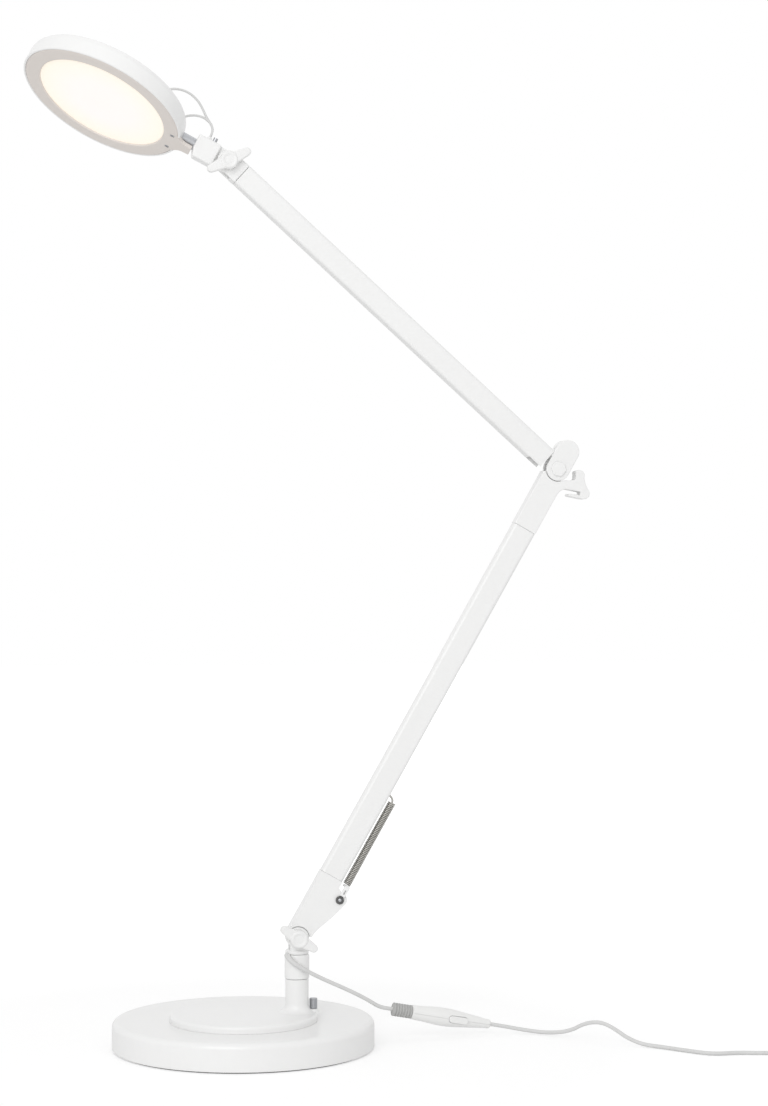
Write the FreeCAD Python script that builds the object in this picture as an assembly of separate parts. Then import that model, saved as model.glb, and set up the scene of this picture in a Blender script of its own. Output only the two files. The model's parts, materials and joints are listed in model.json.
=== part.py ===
"""Spring-balanced desk lamp: round weighted base, swivel post, two straight arms and a round flat head.

Row frame: millimetres, +Z up, origin at the centre of the base's underside. Both arms stand in the
XZ plane, so every tilt joint turns about Y. Each arm and the head is drawn in a frame of its own
(X along it, Y the row's Y) and then placed at its pivot.
"""
import FreeCAD, Part
import math
import os

V = FreeCAD.Vector
UP = V(0, 0, 1)
BACK = V(0, 1, 0)
ORIGIN = V(0, 0, 0)
os.makedirs("parts", exist_ok=True)

# ---------------------------------------------------------------- driving sizes
# base and post
BASE_R = 110.0            # outer radius of the base cover
BASE_TOP = 24.0           # height of the base rim
RIM_R = 5.0               # round of the rim
RIM_FLAT = 6.0            # level part of the rim
BASE_INSET = 2.0          # the bottom plate stands back by this much
PAD_T = 1.5               # anti-slip pad under the plate
PLATE_T = 3.5             # steel bottom plate
COVER_WALL = 2.2
DISH = 1.6                # depth of the hollow in the cover's top
WEIGHT_GAP = 10.8         # cast weight inside the cover, back from the cover's wall
WEIGHT_T = 13.5
BASE_SCREW_PCR = 70.0     # circle of the three base screws, radius
BASE_SCREW_R = 2.1
BASE_SCREW_L = 11.0
BASE_SCREW_HEAD_T = 2.0
DISC_R = 62.0             # raised disc that carries the post
DISC_T = 6.0
DISC_EDGE = 2.6
POST_X = 45.3             # post axis, off the base's centre
POST_R = 9.8
POST_TOP = 56.4           # seam between the foot casting and the collar
FLARE_R = 7.0             # hollow round between the disc and the post
BOLT_R = 4.0              # post bolt
BOLT_HEAD_R = 7.2
BOLT_HEAD_T = 5.0
KNOB_X = 14.0             # upright knurled knob, out from the post axis
KNOB_R = 3.3
KNOB_L = 8.6
KNOB_Z = 30.8             # underside of the knurled knob
KNOB_STEM_R = 1.6
KNOB_STEM_L = 5.5
KNURLS = 16
KNURL_DEPTH = 0.4

# swivel
COLLAR_R = 10.4
COLLAR_TOP = 77.2
SPIGOT_R = 7.4
SPIGOT_L = 14.0           # collar's spigot in the post
SPINDLE_R = 4.5
RUN_GAP = 0.05            # radial clearance of a turning fit
SEAT_GAP = 0.3            # gap between two bodies that face each other
BUSH_WALL = 1.6
CLIP_T = 0.9
STEM_R = 9.8
STEM_L = 3.4

# clevises
TONGUE_D = 8.0            # tongue, front to back
CHEEK_T = 3.6
CLEVIS_GAP = 0.2          # tongue to cheek, each side
HUB_R = 9.2
NECK_W = 13.0             # swivel head's cheeks, below their eyes
PIVOT_R = 3.0             # pivot bolts
BOLT_CAP_R = 5.4
BOLT_CAP_T = 2.6
WING_L = 18.0             # half span of the lower wing knob
HEAD_WING_L = 20.0
WING_T = 9.0
WING_DEG = -33.0          # slope of the lower knob's wings at rest
HEAD_WING_DEG = 26.0

# arms
P1_Z = 91.3               # lower tilt axis above the table
LOWER_L = 455.0           # lower tilt axis to elbow axis
LOWER_DEG = 60.4          # lower arm above the horizontal
UPPER_L = 382.0           # elbow axis to head tilt axis
UPPER_DEG = 137.96        # upper arm, counted the same way
ARM_W = 20.4              # lower arm, across in the plane of the arms
ARM_D = 14.0              # lower arm, front to back
UP_W = 19.0               # upper arm
UP_D = 18.0
ARM_WALL = 1.5
CORNER_R = 3.0
PLUG_L = 20.0             # how far a casting's plug enters its tube
PLUG_GAP = 0.15
CAST_L = 59.0             # the lower arm's castings reach this far from their axes
ELBOW_TUBE_X = 13.0       # the upper arm's tube starts this far from the elbow axis
NOTCH_L = 38.0            # its underside is open up to here, for the folded lower arm
HEAD_CAST_L = 16.0        # the head-end casting shows this far before the tilt axis
LOBE_OUT = 17.0           # centre of the knuckle's round lobe from the elbow axis
SADDLE_GAP = 0.5
ELBOW_TONGUE_R = 7.8
CAP_ACROSS = 6.8          # half size of the elbow's hexagonal cap, to its corners
CAP_T = 2.2

# balance spring and its pull
SPRING_A = 58.0           # lower end of the coils, along the lower arm
SPRING_B = 137.8          # upper end
SPRING_OFF = 15.6         # spring axis below the arm's axis
SPRING_R = 3.0            # mean coil radius
WIRE_R = 0.6
WIRE_SIDES = 4
SPRING_TURNS = 24
SPRING_STEPS = 10         # straight steps in one curl
PIN_A = 44.5              # spring pin along the arm
PIN_OFF = 15.4            # and below its axis
PIN_R = 3.5
EAR_R = 6.4
LUG_W = 4.4
LUG_D = 3.2
PULL_R = 7.2              # pull wire's radius on the elbow drum
PULL_WIRE_R = 0.75
PULL_Y = 2.6
WRAP_FIRST = -84.0        # the wire's wrapped end, in degrees round the drum
WRAP_LAST = 50.0
WRAP_STEPS = 9
SLIDER_A = 144.0          # pull slider along the arm
SLIDER_L = 14.0

# head
HEAD_L = 114.5            # tilt axis to the centre of the head
HEAD_DEG = 27.4           # roll axis below the horizontal
ROLL_DEG = -15.0          # the head's roll at rest
HEAD_DROP = 8.5           # roll axis above the bezel's face
BEZEL_R = 72.0
BEZEL_IN = 55.0
BEZEL_T = 3.4
BEZEL_LIP = 1.6           # the face's thickness in front of the diffuser
HOUSING_R = 71.4
HOUSING_TOP = 9.8         # back of the housing above the roll axis
HOUSING_WALL = 1.8
HOUSING_ROUND = 7.0
DIFFUSER_T = 1.7
BOARD_R = 63.0
BOARD_T = 1.6
SINK_T = 2.6
LED_COUNT = 24
LED_RING_R = 45.0
LED_W = 2.8
LED_T = 0.73
REFLECTOR_WALL = 1.4
TRIM_W = 17.0             # half width of the light's cut-out for the shaft's flange
TAIL_X = 82.6             # end of the bezel's tail
TAIL_ROOT_W = 17.0        # half widths of the tail
TAIL_TIP_W = 6.4
TAIL_BACK = 4.0           # the tail is rooted this far inside the bezel screws
TAIL_FLARE = 6.0          # and is this much wider there, each side
TAIL_SET = 1.6            # its full width is met this far inside the bezel's edge
SCREW_X = 63.7
SCREW_Y = 11.1
SCREW_R = 2.0
BLOCK_X = 83.2            # head block, from here to the tilt axis
BLOCK_LOW = -10.4
BLOCK_HIGH = 9.0
BLOCK_D = 16.0
ROLL_R = 5.0
ROLL_START = 60.0
ROLL_END = 99.6
FLANGE_X = 58.0           # shaft's flange inside the housing
FLANGE_T = 3.6
FLANGE_W = 16.0
SHAFT_SLOT_L = 30.0       # slot for the shaft through the housing's edge
ROLL_GROOVE = 2.6         # retaining groove, back from the shaft's end
ROLL_SCREW_R = 1.9
CABLE_R = 1.0
LEAD_SIDES = 6
STUB_X = 92.1             # cable stub on the block
STUB_L = 2.6
COLLAR_L = 1.4            # collars where the leads enter the housing

# supply cord
CORD_D = 3.4
CORD_SIDES = 8
GLAND_R = 2.6
ADAPTER_L = 89.0
GRIP_L = 17.0
GRIP_R = 5.7
GRIP_RIBS = 3
BUTTON_X = 58.0
BUTTON_TRAVEL = 1.2
COIL_TURNS = 4.0          # turns of the coil's lower layer; the upper has half a turn less
COIL_MID_R = 18.7
COIL_GAP = 0.6            # between neighbouring turns
COIL_DIP = 0.8            # the climbing half turn runs this far inside the others
COIL_SIDES = 6
COIL_STEPS = 16           # straight steps in one turn
COIL_X = 474.0
COIL_LINE_Y = -108.0      # the cord meets the coil along this line
PLUG_L_BODY = 34.0
PLUG_W = 24.0
PLUG_T = 11.2
PLUG_PIN_GAP = 19.0
PLUG_PIN_R = 2.0
PLUG_PIN_L = 19.0

# ---------------------------------------------------------------- derived places
COVER_Z = PAD_T + PLATE_T
DISC_Z = BASE_TOP - DISH
DISC_TOP = DISC_Z + DISC_T
WEIGHT_R = BASE_R - COVER_WALL - WEIGHT_GAP
P1 = V(POST_X, 0, P1_Z)
CHEEK_IN = TONGUE_D / 2 + CLEVIS_GAP
CHEEK_OUT = CHEEK_IN + CHEEK_T
LOBE_R = ARM_W / 2
CORD_R = CORD_D / 2


def polar(origin, length, degrees):
    """The point at that distance and angle above +X from origin, in the XZ plane."""
    a = math.radians(degrees)
    return origin + V(length * math.cos(a), 0, length * math.sin(a))


P2 = polar(P1, LOWER_L, LOWER_DEG)
P3 = polar(P2, UPPER_L, UPPER_DEG)
HEAD = polar(P3, HEAD_L, 180 - HEAD_DEG)

parts = {}


# ---------------------------------------------------------------- helpers
def cyl(r, length, base, direction=UP):
    """A cylinder from base along direction."""
    return Part.makeCylinder(r, length, base, direction)


def cyl_y(r, y0, y1, x=0.0, z=0.0):
    """A cylinder along Y between two depths."""
    return cyl(r, y1 - y0, V(x, y0, z), BACK)


def box(x0, x1, y0, y1, z0, z1):
    """A box between two corners."""
    return Part.makeBox(x1 - x0, y1 - y0, z1 - z0, V(x0, y0, z0))


def ring(r_out, r_in, z0, z1, x=0.0):
    """A ring about a vertical axis."""
    return cyl(r_out, z1 - z0, V(x, 0, z0)).cut(cyl(r_in, z1 - z0 + 2, V(x, 0, z0 - 1)))


def outline(items, to_point):
    """A closed face from 2-D points; a pair of them is the middle and the end of an arc."""
    start = to_point(items[0])
    here = start
    edges = []
    for item in items[1:] + [items[0]]:
        if isinstance(item[0], tuple):
            middle, end = to_point(item[0]), to_point(item[1])
            edges.append(Part.Arc(here, middle, end).toShape())
            here = end
        elif (to_point(item) - here).Length > 1e-6:
            edges.append(Part.LineSegment(here, to_point(item)).toShape())
            here = to_point(item)
    return Part.Face(Part.Wire(edges))


def turned(items, x=0.0):
    """A solid turned about a vertical axis from (radius, height) points."""
    face = outline(items, lambda p: V(x + p[0], 0, p[1]))
    return face.revolve(V(x, 0, 0), UP, 360)


def turned_along(items):
    """A solid turned about X from (x, radius) points."""
    face = outline(items, lambda p: V(p[0], 0, p[1]))
    return face.revolve(ORIGIN, V(1, 0, 0), 360)


def plate_xz(items, y0, y1):
    """An outline of (x, z) points from one depth to another."""
    face = outline(items, lambda p: V(p[0], y0, p[1]))
    return face.extrude(V(0, y1 - y0, 0))


def rounded(shape, radius, test):
    """Rounds the edges whose bounding box passes a test."""
    return shape.makeFillet(radius, [e for e in shape.Edges if test(e.BoundBox)])


def chamfered(shape, size, test):
    """Chamfers the edges whose bounding box passes a test."""
    return shape.makeChamfer(size, [e for e in shape.Edges if test(e.BoundBox)])


def bands(cx, cz, r, first, last, count):
    """Points of a round of (radius, height) outlines, as the corners of straight bands."""
    points = []
    for k in range(count + 1):
        a = math.radians(first + (last - first) * k / count)
        points.append((cx + r * math.cos(a), cz + r * math.sin(a)))
    return points


def bar(x0, x1, width, depth, corner):
    """A bar along X with rounded long edges, width across Z and depth across Y."""
    block = box(x0, x1, -depth / 2, depth / 2, -width / 2, width / 2)
    return rounded(block, corner, lambda b: b.XLength > x1 - x0 - 1e-6)


def joined(shapes):
    """One solid from several that touch."""
    return shapes[0].multiFuse(shapes[1:]).removeSplitter()


def placed(shape, pivot, degrees):
    """Moves a shape from an arm's frame into the row frame."""
    moved = shape.copy()
    moved.rotate(ORIGIN, BACK, -degrees)
    moved.translate(pivot)
    return moved


def on_lower(shape):
    """From the lower arm's frame: X along the arm from the lower tilt axis, Z to its upper left."""
    return placed(shape, P1, LOWER_DEG)


def on_upper(shape):
    """From the upper arm's frame: X along the arm from the elbow, Z to its underside."""
    return placed(shape, P2, UPPER_DEG)


def on_block(shape):
    """From the head block's frame: X from the head's centre to the tilt axis."""
    return placed(shape, HEAD, -HEAD_DEG)


def on_head(shape):
    """From the head's frame, rolled about its own X."""
    rolled = shape.copy()
    rolled.rotate(ORIGIN, V(1, 0, 0), ROLL_DEG)
    return on_block(rolled)


# ---------------------------------------------------------------- base and post
def make_plate_and_weight():
    """Pad, bottom plate, cast weight, their three screws and the post bolt."""
    plate_r = BASE_R - BASE_INSET
    parts["base_pad"] = cyl(plate_r - 1, PAD_T, ORIGIN)
    weight_z = COVER_Z + SEAT_GAP
    plate = cyl(plate_r, PLATE_T, V(0, 0, PAD_T))
    weight = cyl(WEIGHT_R, WEIGHT_T, V(0, 0, weight_z))
    weight = chamfered(weight, 2.0, lambda b: b.ZMin > weight_z + 1)
    screws = []
    for k in range(3):
        a = math.radians(90 + 120 * k)
        x, y = BASE_SCREW_PCR * math.cos(a), BASE_SCREW_PCR * math.sin(a)
        head = cyl(2 * BASE_SCREW_R, BASE_SCREW_HEAD_T, V(x, y, PAD_T))
        screws.append(head.fuse(cyl(BASE_SCREW_R, BASE_SCREW_L, V(x, y, PAD_T))))
        seat = cyl(2 * BASE_SCREW_R + 0.1, BASE_SCREW_HEAD_T + 0.1, V(x, y, PAD_T))
        shaft = cyl(BASE_SCREW_R + 0.1, BASE_SCREW_L + 0.4, V(x, y, PAD_T))
        plate = plate.cut(seat.fuse(shaft))
        weight = weight.cut(shaft)
    bolt_z = weight_z + 1.0
    weight = weight.cut(cyl(BOLT_HEAD_R + 1.5, BOLT_HEAD_T + 1.0, V(POST_X, 0, weight_z)))
    weight = weight.cut(cyl(BOLT_R + 0.3, WEIGHT_T + 2, V(POST_X, 0, weight_z)))
    parts["base_plate"] = plate
    parts["base_weight"] = weight
    parts["base_screws"] = Part.makeCompound(screws)
    corners = [polar(ORIGIN, BOLT_HEAD_R, 60 * k) for k in range(7)]
    flats = Part.Face(Part.makePolygon([V(POST_X + c.x, c.z, bolt_z) for c in corners]))
    shank = cyl(BOLT_R, POST_TOP - SPIGOT_L - 2.0 - bolt_z, V(POST_X, 0, bolt_z))
    parts["post_bolt"] = flats.extrude(V(0, 0, BOLT_HEAD_T)).fuse(shank)


def make_cover():
    """The pressed base cover: round rim, level edge and a slightly hollow top."""
    roof = DISC_Z - COVER_WALL
    inside = BASE_R - COVER_WALL
    cover = turned([
        (0.0, roof), (inside - 2.0, roof), (inside, COVER_Z), (BASE_R, COVER_Z)]
        + bands(BASE_R - RIM_R, BASE_TOP - RIM_R, RIM_R, 0, 90, 3)
        + [(BASE_R - RIM_R - RIM_FLAT, BASE_TOP), (DISC_R + 3.0, DISC_Z), (0.0, DISC_Z)])
    parts["base_cover"] = cover.cut(cyl(BOLT_R + 0.3, BASE_TOP, V(POST_X, 0, 0)))


def make_post_foot():
    """One casting: the raised disc, the hollow flare, the post and the knurled knob's stub."""
    disc = turned([(0.0, DISC_Z), (DISC_R, DISC_Z)]
                  + bands(DISC_R - DISC_EDGE, DISC_TOP - DISC_EDGE, DISC_EDGE, 0, 90, 1)
                  + [(0.0, DISC_TOP)])
    flare = POST_R + FLARE_R
    sunk = DISC_TOP - 1.5
    post = turned([(0.0, sunk), (flare - 1.0, sunk)]
                  + bands(flare, DISC_TOP + FLARE_R, FLARE_R, 260, 180, 3)
                  + [(POST_R, POST_TOP), (0.0, POST_TOP)], POST_X)
    knob_seat = KNOB_Z - SEAT_GAP
    stub = cyl(KNOB_R + 1.0, knob_seat - sunk, V(POST_X + KNOB_X, 0, sunk))
    foot = joined([disc, post, stub])
    foot = foot.cut(cyl(SPIGOT_R + PLUG_GAP, SPIGOT_L + 1.0, V(POST_X, 0, POST_TOP - SPIGOT_L)))
    foot = foot.cut(cyl(BOLT_R + 0.1, POST_TOP - DISC_Z, V(POST_X, 0, DISC_Z - 1)))
    stem_hole = KNOB_STEM_L + SEAT_GAP
    foot = foot.cut(cyl(KNOB_R + 0.35, KNOB_L, V(POST_X + KNOB_X, 0, knob_seat)))
    foot = foot.cut(cyl(KNOB_STEM_R + RUN_GAP, stem_hole, V(POST_X + KNOB_X, 0, KNOB_Z - stem_hole)))
    parts["post_foot"] = foot


def make_knurled_knob():
    """The small upright knurled knob beside the post, with its stem in the foot's stub."""
    corners = []
    for k in range(2 * KNURLS + 1):
        p = polar(ORIGIN, KNOB_R - KNURL_DEPTH * (k % 2), 180 * k / KNURLS)
        corners.append(V(p.x, p.z, 0))
    body = Part.Face(Part.makePolygon(corners)).extrude(V(0, 0, KNOB_L))
    body = body.common(Part.makeCone(KNOB_R + KNOB_L, KNOB_R - 0.4, KNOB_L + 0.4 + 0.01, V(0, 0, 0)))
    body = body.fuse(cyl(KNOB_STEM_R, KNOB_STEM_L + 0.5, V(0, 0, -KNOB_STEM_L)))
    body.translate(V(POST_X + KNOB_X, 0, KNOB_Z))
    parts["knurled_knob"] = body


# ---------------------------------------------------------------- swivel
def cheek(x, z, low, side):
    """One upright clevis cheek: a round eye about (x, z) on a narrower neck down to the height low."""
    y0, y1 = sorted((side * CHEEK_IN, side * CHEEK_OUT))
    return cyl_y(HUB_R, y0, y1, x, z).fuse(box(x - NECK_W / 2, x + NECK_W / 2, y0, y1, low, z))


def make_swivel():
    """Fixed collar and bush; swivel head with its spindle, and the spindle's clip."""
    bush_r = SPINDLE_R + RUN_GAP + BUSH_WALL
    foot_z = POST_TOP - SPIGOT_L
    clip_room = 4.0
    collar = turned([
        (0.0, foot_z + SEAT_GAP), (SPIGOT_R, foot_z + SEAT_GAP), (SPIGOT_R, POST_TOP + 0.4),
        (COLLAR_R, POST_TOP + 0.4), (COLLAR_R, COLLAR_TOP - 0.8), (COLLAR_R - 0.8, COLLAR_TOP),
        (0.0, COLLAR_TOP)], POST_X)
    collar = collar.cut(cyl(bush_r, COLLAR_TOP, V(POST_X, 0, foot_z)))
    parts["post_collar"] = collar
    bush_z = foot_z + clip_room
    parts["swivel_bush"] = ring(bush_r - 0.02, SPINDLE_R + RUN_GAP, bush_z, COLLAR_TOP - 0.5, POST_X)

    head_z = COLLAR_TOP + SEAT_GAP
    clip_z = foot_z + 2.2
    spindle = cyl(SPINDLE_R, head_z + 1 - foot_z - 1.0, V(POST_X, 0, foot_z + 1.0))
    spindle = spindle.cut(ring(SPINDLE_R + 1, SPINDLE_R - 0.6, clip_z - 0.1, clip_z + CLIP_T + 0.1, POST_X))
    stem = cyl(STEM_R, STEM_L, V(POST_X, 0, head_z))
    cheeks = [cheek(POST_X, P1_Z, head_z + STEM_L - 0.5, side) for side in (-1, 1)]
    head = joined([spindle, stem] + cheeks)
    parts["swivel_head"] = head.cut(cyl_y(PIVOT_R + 0.1, -20, 20, P1.x, P1.z))
    clip = ring(SPINDLE_R + 1.3, SPINDLE_R - 0.5, clip_z, clip_z + CLIP_T, POST_X)
    parts["spindle_clip"] = clip.cut(box(POST_X + 1, POST_X + 10, -1.8, 1.8, clip_z - 1, clip_z + 2))


# ---------------------------------------------------------------- pivot bolts and wing knobs
def pivot_bolt(x, z, front):
    """A clevis bolt along Y: flat round head behind, its threaded end standing out in front."""
    head = cyl_y(BOLT_CAP_R, CHEEK_OUT, CHEEK_OUT + BOLT_CAP_T, x, z)
    head = chamfered(head, 0.8, lambda b: b.YMin > CHEEK_OUT + BOLT_CAP_T - 0.1)
    return head.fuse(cyl_y(PIVOT_R, -CHEEK_OUT - front, CHEEK_OUT + 0.5, x, z))


def wing_knob(pivot, half_span, degrees):
    """A two-winged knob that hides the front end of a pivot bolt; degrees is the wings' slope."""
    face = -CHEEK_OUT - SEAT_GAP
    boss = cyl_y(7.4, face - WING_T, face)
    boss = chamfered(boss, 1.4, lambda b: b.YMax < face - WING_T + 0.1)
    tip_r = 3.4
    wings = []
    for side in (-1, 1):
        end = half_span - tip_r
        wings.append(plate_xz([
            (side * 2.0, -5.8), (side * end, -tip_r),
            ((side * half_span, 0.0), (side * end, tip_r)), (side * 2.0, 5.8)],
            face - WING_T + 1.6, face - 1.6))
    knob = joined([boss] + wings)
    knob = knob.cut(cyl_y(PIVOT_R + RUN_GAP, face - WING_T + 3.0, face + 1))
    return placed(knob, V(pivot.x, 0, pivot.z), degrees)


def make_bolts_and_knobs():
    """The bolts of the lower and head tilt joints, and the wing knobs on them."""
    reach = WING_T - 3.5
    parts["tilt_bolt"] = pivot_bolt(P1.x, P1.z, reach)
    parts["tilt_wing_knob"] = wing_knob(P1, WING_L, WING_DEG)
    parts["head_bolt"] = pivot_bolt(P3.x, P3.z, reach)
    parts["head_wing_knob"] = wing_knob(P3, HEAD_WING_L, HEAD_WING_DEG)


# ---------------------------------------------------------------- lower arm
def plug(x0, x1, width, depth):
    """The part of a casting that stands inside its tube."""
    inset = 2 * (ARM_WALL + PLUG_GAP)
    return bar(x0, x1, width - inset, depth - inset, CORNER_R - ARM_WALL)


def hollow_bar(x0, x1, width, depth):
    """A rectangular tube with rounded corners, open at both ends."""
    inner = bar(x0 - 1, x1 + 1, width - 2 * ARM_WALL, depth - 2 * ARM_WALL, CORNER_R - ARM_WALL)
    return bar(x0, x1, width, depth, CORNER_R).cut(inner)


def make_lower_tube():
    """The lower arm's tube, with the slot for the pull slider's hook in its underside."""
    tube = hollow_bar(CAST_L, LOWER_L - CAST_L, ARM_W, ARM_D)
    low = -ARM_W / 2
    hook_a = SLIDER_A - 0.5 - PULL_R * math.radians(30)
    hook_b = SLIDER_A + 3.6 + 0.5 + PULL_R * math.radians(75)
    tube = tube.cut(box(hook_a, hook_b, -2.2, 2.2, low - 1, low + ARM_WALL + 0.5))
    parts["lower_tube"] = on_lower(tube)


def make_lower_casting():
    """The lower arm's foot: tongue on the tilt axis, body and the ear that holds the spring's pin."""
    half = ARM_W / 2
    ear_low = -PIN_OFF - EAR_R
    body = plate_xz([
        (3.0, 0.0), (0.0, half), (CAST_L - 0.1, half), (CAST_L - 0.1, -half),
        (PIN_A + EAR_R + 2.0, -half), (PIN_A + EAR_R, -PIN_OFF + 1.0),
        ((PIN_A + EAR_R * math.sqrt(0.5), -PIN_OFF - EAR_R * math.sqrt(0.5)), (PIN_A - 0.6, ear_low)),
        (PIN_A - 14.0, -PIN_OFF - 2.4), (13.0, -half - 0.8), (6.0, -half + 0.6)], -ARM_D / 2, ARM_D / 2)
    room = cyl_y(HUB_R + 0.6, -ARM_D, ARM_D)
    tongue = cyl_y(HUB_R - 0.4, -TONGUE_D / 2, TONGUE_D / 2).fuse(
        box(0, HUB_R + 3, -TONGUE_D / 2, TONGUE_D / 2, -HUB_R + 0.8, HUB_R - 0.8))
    body = body.cut(room)
    casting = joined([body, tongue, plug(CAST_L - 2, CAST_L + PLUG_L, ARM_W, ARM_D)])
    casting = casting.cut(cyl_y(PIVOT_R + RUN_GAP, -20, 20))
    casting = casting.cut(cyl_y(PIN_R - 1.1, -20, 20, PIN_A, -PIN_OFF))
    parts["lower_casting"] = on_lower(casting)


def make_spring_pin():
    """The steel pin through the ear: ringed head in front, riveted disc behind."""
    front, back = -ARM_D / 2, ARM_D / 2
    head = cyl_y(PIN_R, front - 1.8, front, PIN_A, -PIN_OFF)
    head = chamfered(head, 0.6, lambda b: b.YMax < front - 1.7)
    head = head.cut(cyl_y(1.4, front - 2, front - 0.9, PIN_A, -PIN_OFF))
    shank = cyl_y(PIN_R - 1.15, front - 0.5, back + 0.5, PIN_A, -PIN_OFF)
    rivet = cyl_y(PIN_R, back, back + 1.0, PIN_A, -PIN_OFF)
    parts["spring_pin"] = on_lower(joined([head, shank, rivet]))


def elbow_face():
    """The elbow casting's outline: straight sides, round saddle and the curled rest behind it."""
    half = ARM_W / 2
    x = LOWER_L
    saddle = LOBE_R + SADDLE_GAP
    a = math.radians(130)
    b = math.radians(-130)
    return [
        (x - CAST_L + 0.1, half), (x + saddle * math.cos(a) - 0.4, half),
        (x + saddle * math.cos(a), saddle * math.sin(a)),
        ((x - saddle, 0.0), (x + saddle * math.cos(b), saddle * math.sin(b))),
        (x - 0.4, -17.6),
        ((x + 2.8, -16.6), (x + 5.6, -14.6)),
        ((x + 9.0, -17.4), (x + 5.0, -23.8)),
        ((x + 0.4, -28.4), (x - 3.0, -33.6)),
        ((x - 7.6, -35.2), (x - 11.6, -31.6)),
        (x - 15.4, -20.4),
        ((x - 14.9, -18.9), (x - 13.4, -19.2)),
        (x - 10.2, -27.2),
        ((x - 8.6, -27.6), (x - 7.4, -26.4)),
        (x - 11.6, -14.2),
        ((x - 15.6, -11.2), (x - 21.0, -half)),
        (x - CAST_L + 0.1, -half)]


def make_elbow_casting():
    """The lower arm's head: body, saddle, curled rest and the tongue on the elbow axis."""
    x = LOWER_L
    body = plate_xz(elbow_face(), -ARM_D / 2, ARM_D / 2)
    inner = ELBOW_TONGUE_R - 0.6
    wire_side = PULL_Y - PULL_WIRE_R - 0.8
    tongue = cyl_y(ELBOW_TONGUE_R, -TONGUE_D / 2, wire_side, x).fuse(
        box(x - LOBE_R - 3, x, -TONGUE_D / 2, wire_side, -inner, inner))
    casting = joined([body, tongue, plug(x - CAST_L - PLUG_L, x - CAST_L + 2, ARM_W, ARM_D)])
    casting = casting.cut(cyl_y(PIVOT_R + RUN_GAP, -20, 20, x))
    bore = cyl(PULL_WIRE_R + 0.4, 100, V(x - 100, PULL_Y, -PULL_R), V(1, 0, 0))
    parts["elbow_casting"] = on_lower(casting.cut(bore))


# ---------------------------------------------------------------- balance spring and pull
def flat_face(corners):
    """A flat face with those corners."""
    return Part.Face(Part.makePolygon(corners + [corners[0]]))


def tube_through(frames, radius, sides):
    """One unbroken tube of flat faces; a frame is a centre and two cross directions."""
    rings = []
    for centre, first, second in frames:
        corners = []
        for k in range(sides):
            a = 2 * math.pi * (k + 0.5) / sides
            corners.append(centre + first * (radius * math.cos(a)) + second * (radius * math.sin(a)))
        rings.append(corners)
    faces = [flat_face(rings[0]), flat_face(rings[-1])]
    for low, high in zip(rings, rings[1:]):
        for k in range(sides):
            following = (k + 1) % sides
            faces.append(flat_face([low[k], low[following], high[following]]))
            faces.append(flat_face([low[k], high[following], high[k]]))
    shell = Part.makeShell(faces)
    shell.sewShape()
    solid = Part.makeSolid(Part.Shell(shell.Faces))
    if solid.Volume < 0:
        solid.reverse()
    return solid


def self_gap(frames, skip, radius):
    """The least distance between two stretches of a tube's wall that lie skip frames or more apart."""
    centres = [f[0] for f in frames]
    least = min((centres[i] - c).Length for i in range(len(centres)) for c in centres[i + skip:])
    return least - 2 * radius


def make_spring():
    """The visible extension spring: one wire with all its curls."""
    pitch = (SPRING_B - SPRING_A - 2 * WIRE_R) / SPRING_TURNS
    frames = []
    for k in range(SPRING_TURNS * SPRING_STEPS + 1):
        a = 2 * math.pi * k / SPRING_STEPS
        out = V(0, math.cos(a), math.sin(a))
        centre = V(SPRING_A + WIRE_R + pitch * k / SPRING_STEPS, 0, -SPRING_OFF) + out * SPRING_R
        along = V(pitch / (2 * math.pi), -SPRING_R * math.sin(a), SPRING_R * math.cos(a))
        along.normalize()
        frames.append((centre, out, along.cross(out)))
    print("spring self-gap", round(self_gap(frames, SPRING_STEPS - 2, WIRE_R), 3), "mm")
    parts["balance_spring"] = on_lower(tube_through(frames, WIRE_R, WIRE_SIDES))


def make_pull():
    """The strap from the pin to the spring; the slider, its hook and the wire up to the elbow drum."""
    strap_b = SPRING_A - 0.1
    strap = plate_xz([
        (PIN_A + PIN_R + 0.2, -PIN_OFF - LUG_W / 2), (strap_b, -SPRING_OFF - LUG_W / 2),
        (strap_b, -SPRING_OFF + LUG_W / 2), (PIN_A + PIN_R + 0.2, -PIN_OFF + LUG_W / 2)],
        -ARM_D / 2 - LUG_D, -ARM_D / 2)
    foot = box(strap_b - 2.0, strap_b, -ARM_D / 2 - LUG_D, SPRING_R, -SPRING_OFF - LUG_W / 2,
               -SPRING_OFF + LUG_W / 2)
    parts["spring_strap"] = on_lower(joined([strap, foot]))
    inside = ARM_W / 2 - ARM_WALL
    block = bar(SLIDER_A, SLIDER_A + SLIDER_L, 2 * inside - 0.6, ARM_D - 2 * ARM_WALL - 0.6, 1.2)
    hook = box(SLIDER_A, SLIDER_A + 3.6, -1.8, 1.8, -SPRING_OFF - 2.2, -inside + 0.6)
    toe = box(SPRING_B + 0.1, SLIDER_A + 3.6, -1.8, 1.8, -SPRING_OFF - 2.2, -ARM_W / 2 - 1.0)
    parts["pull_slider"] = on_lower(joined([block, hook, toe]))
    start = SLIDER_A + SLIDER_L - 4.0
    wire = cyl(PULL_WIRE_R, LOWER_L - 0.3 - start, V(start, PULL_Y, -PULL_R), V(1, 0, 0))
    parts["pull_wire"] = on_lower(wire)
    parts["pull_slider"] = parts["pull_slider"].cut(parts["pull_wire"])


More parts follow.
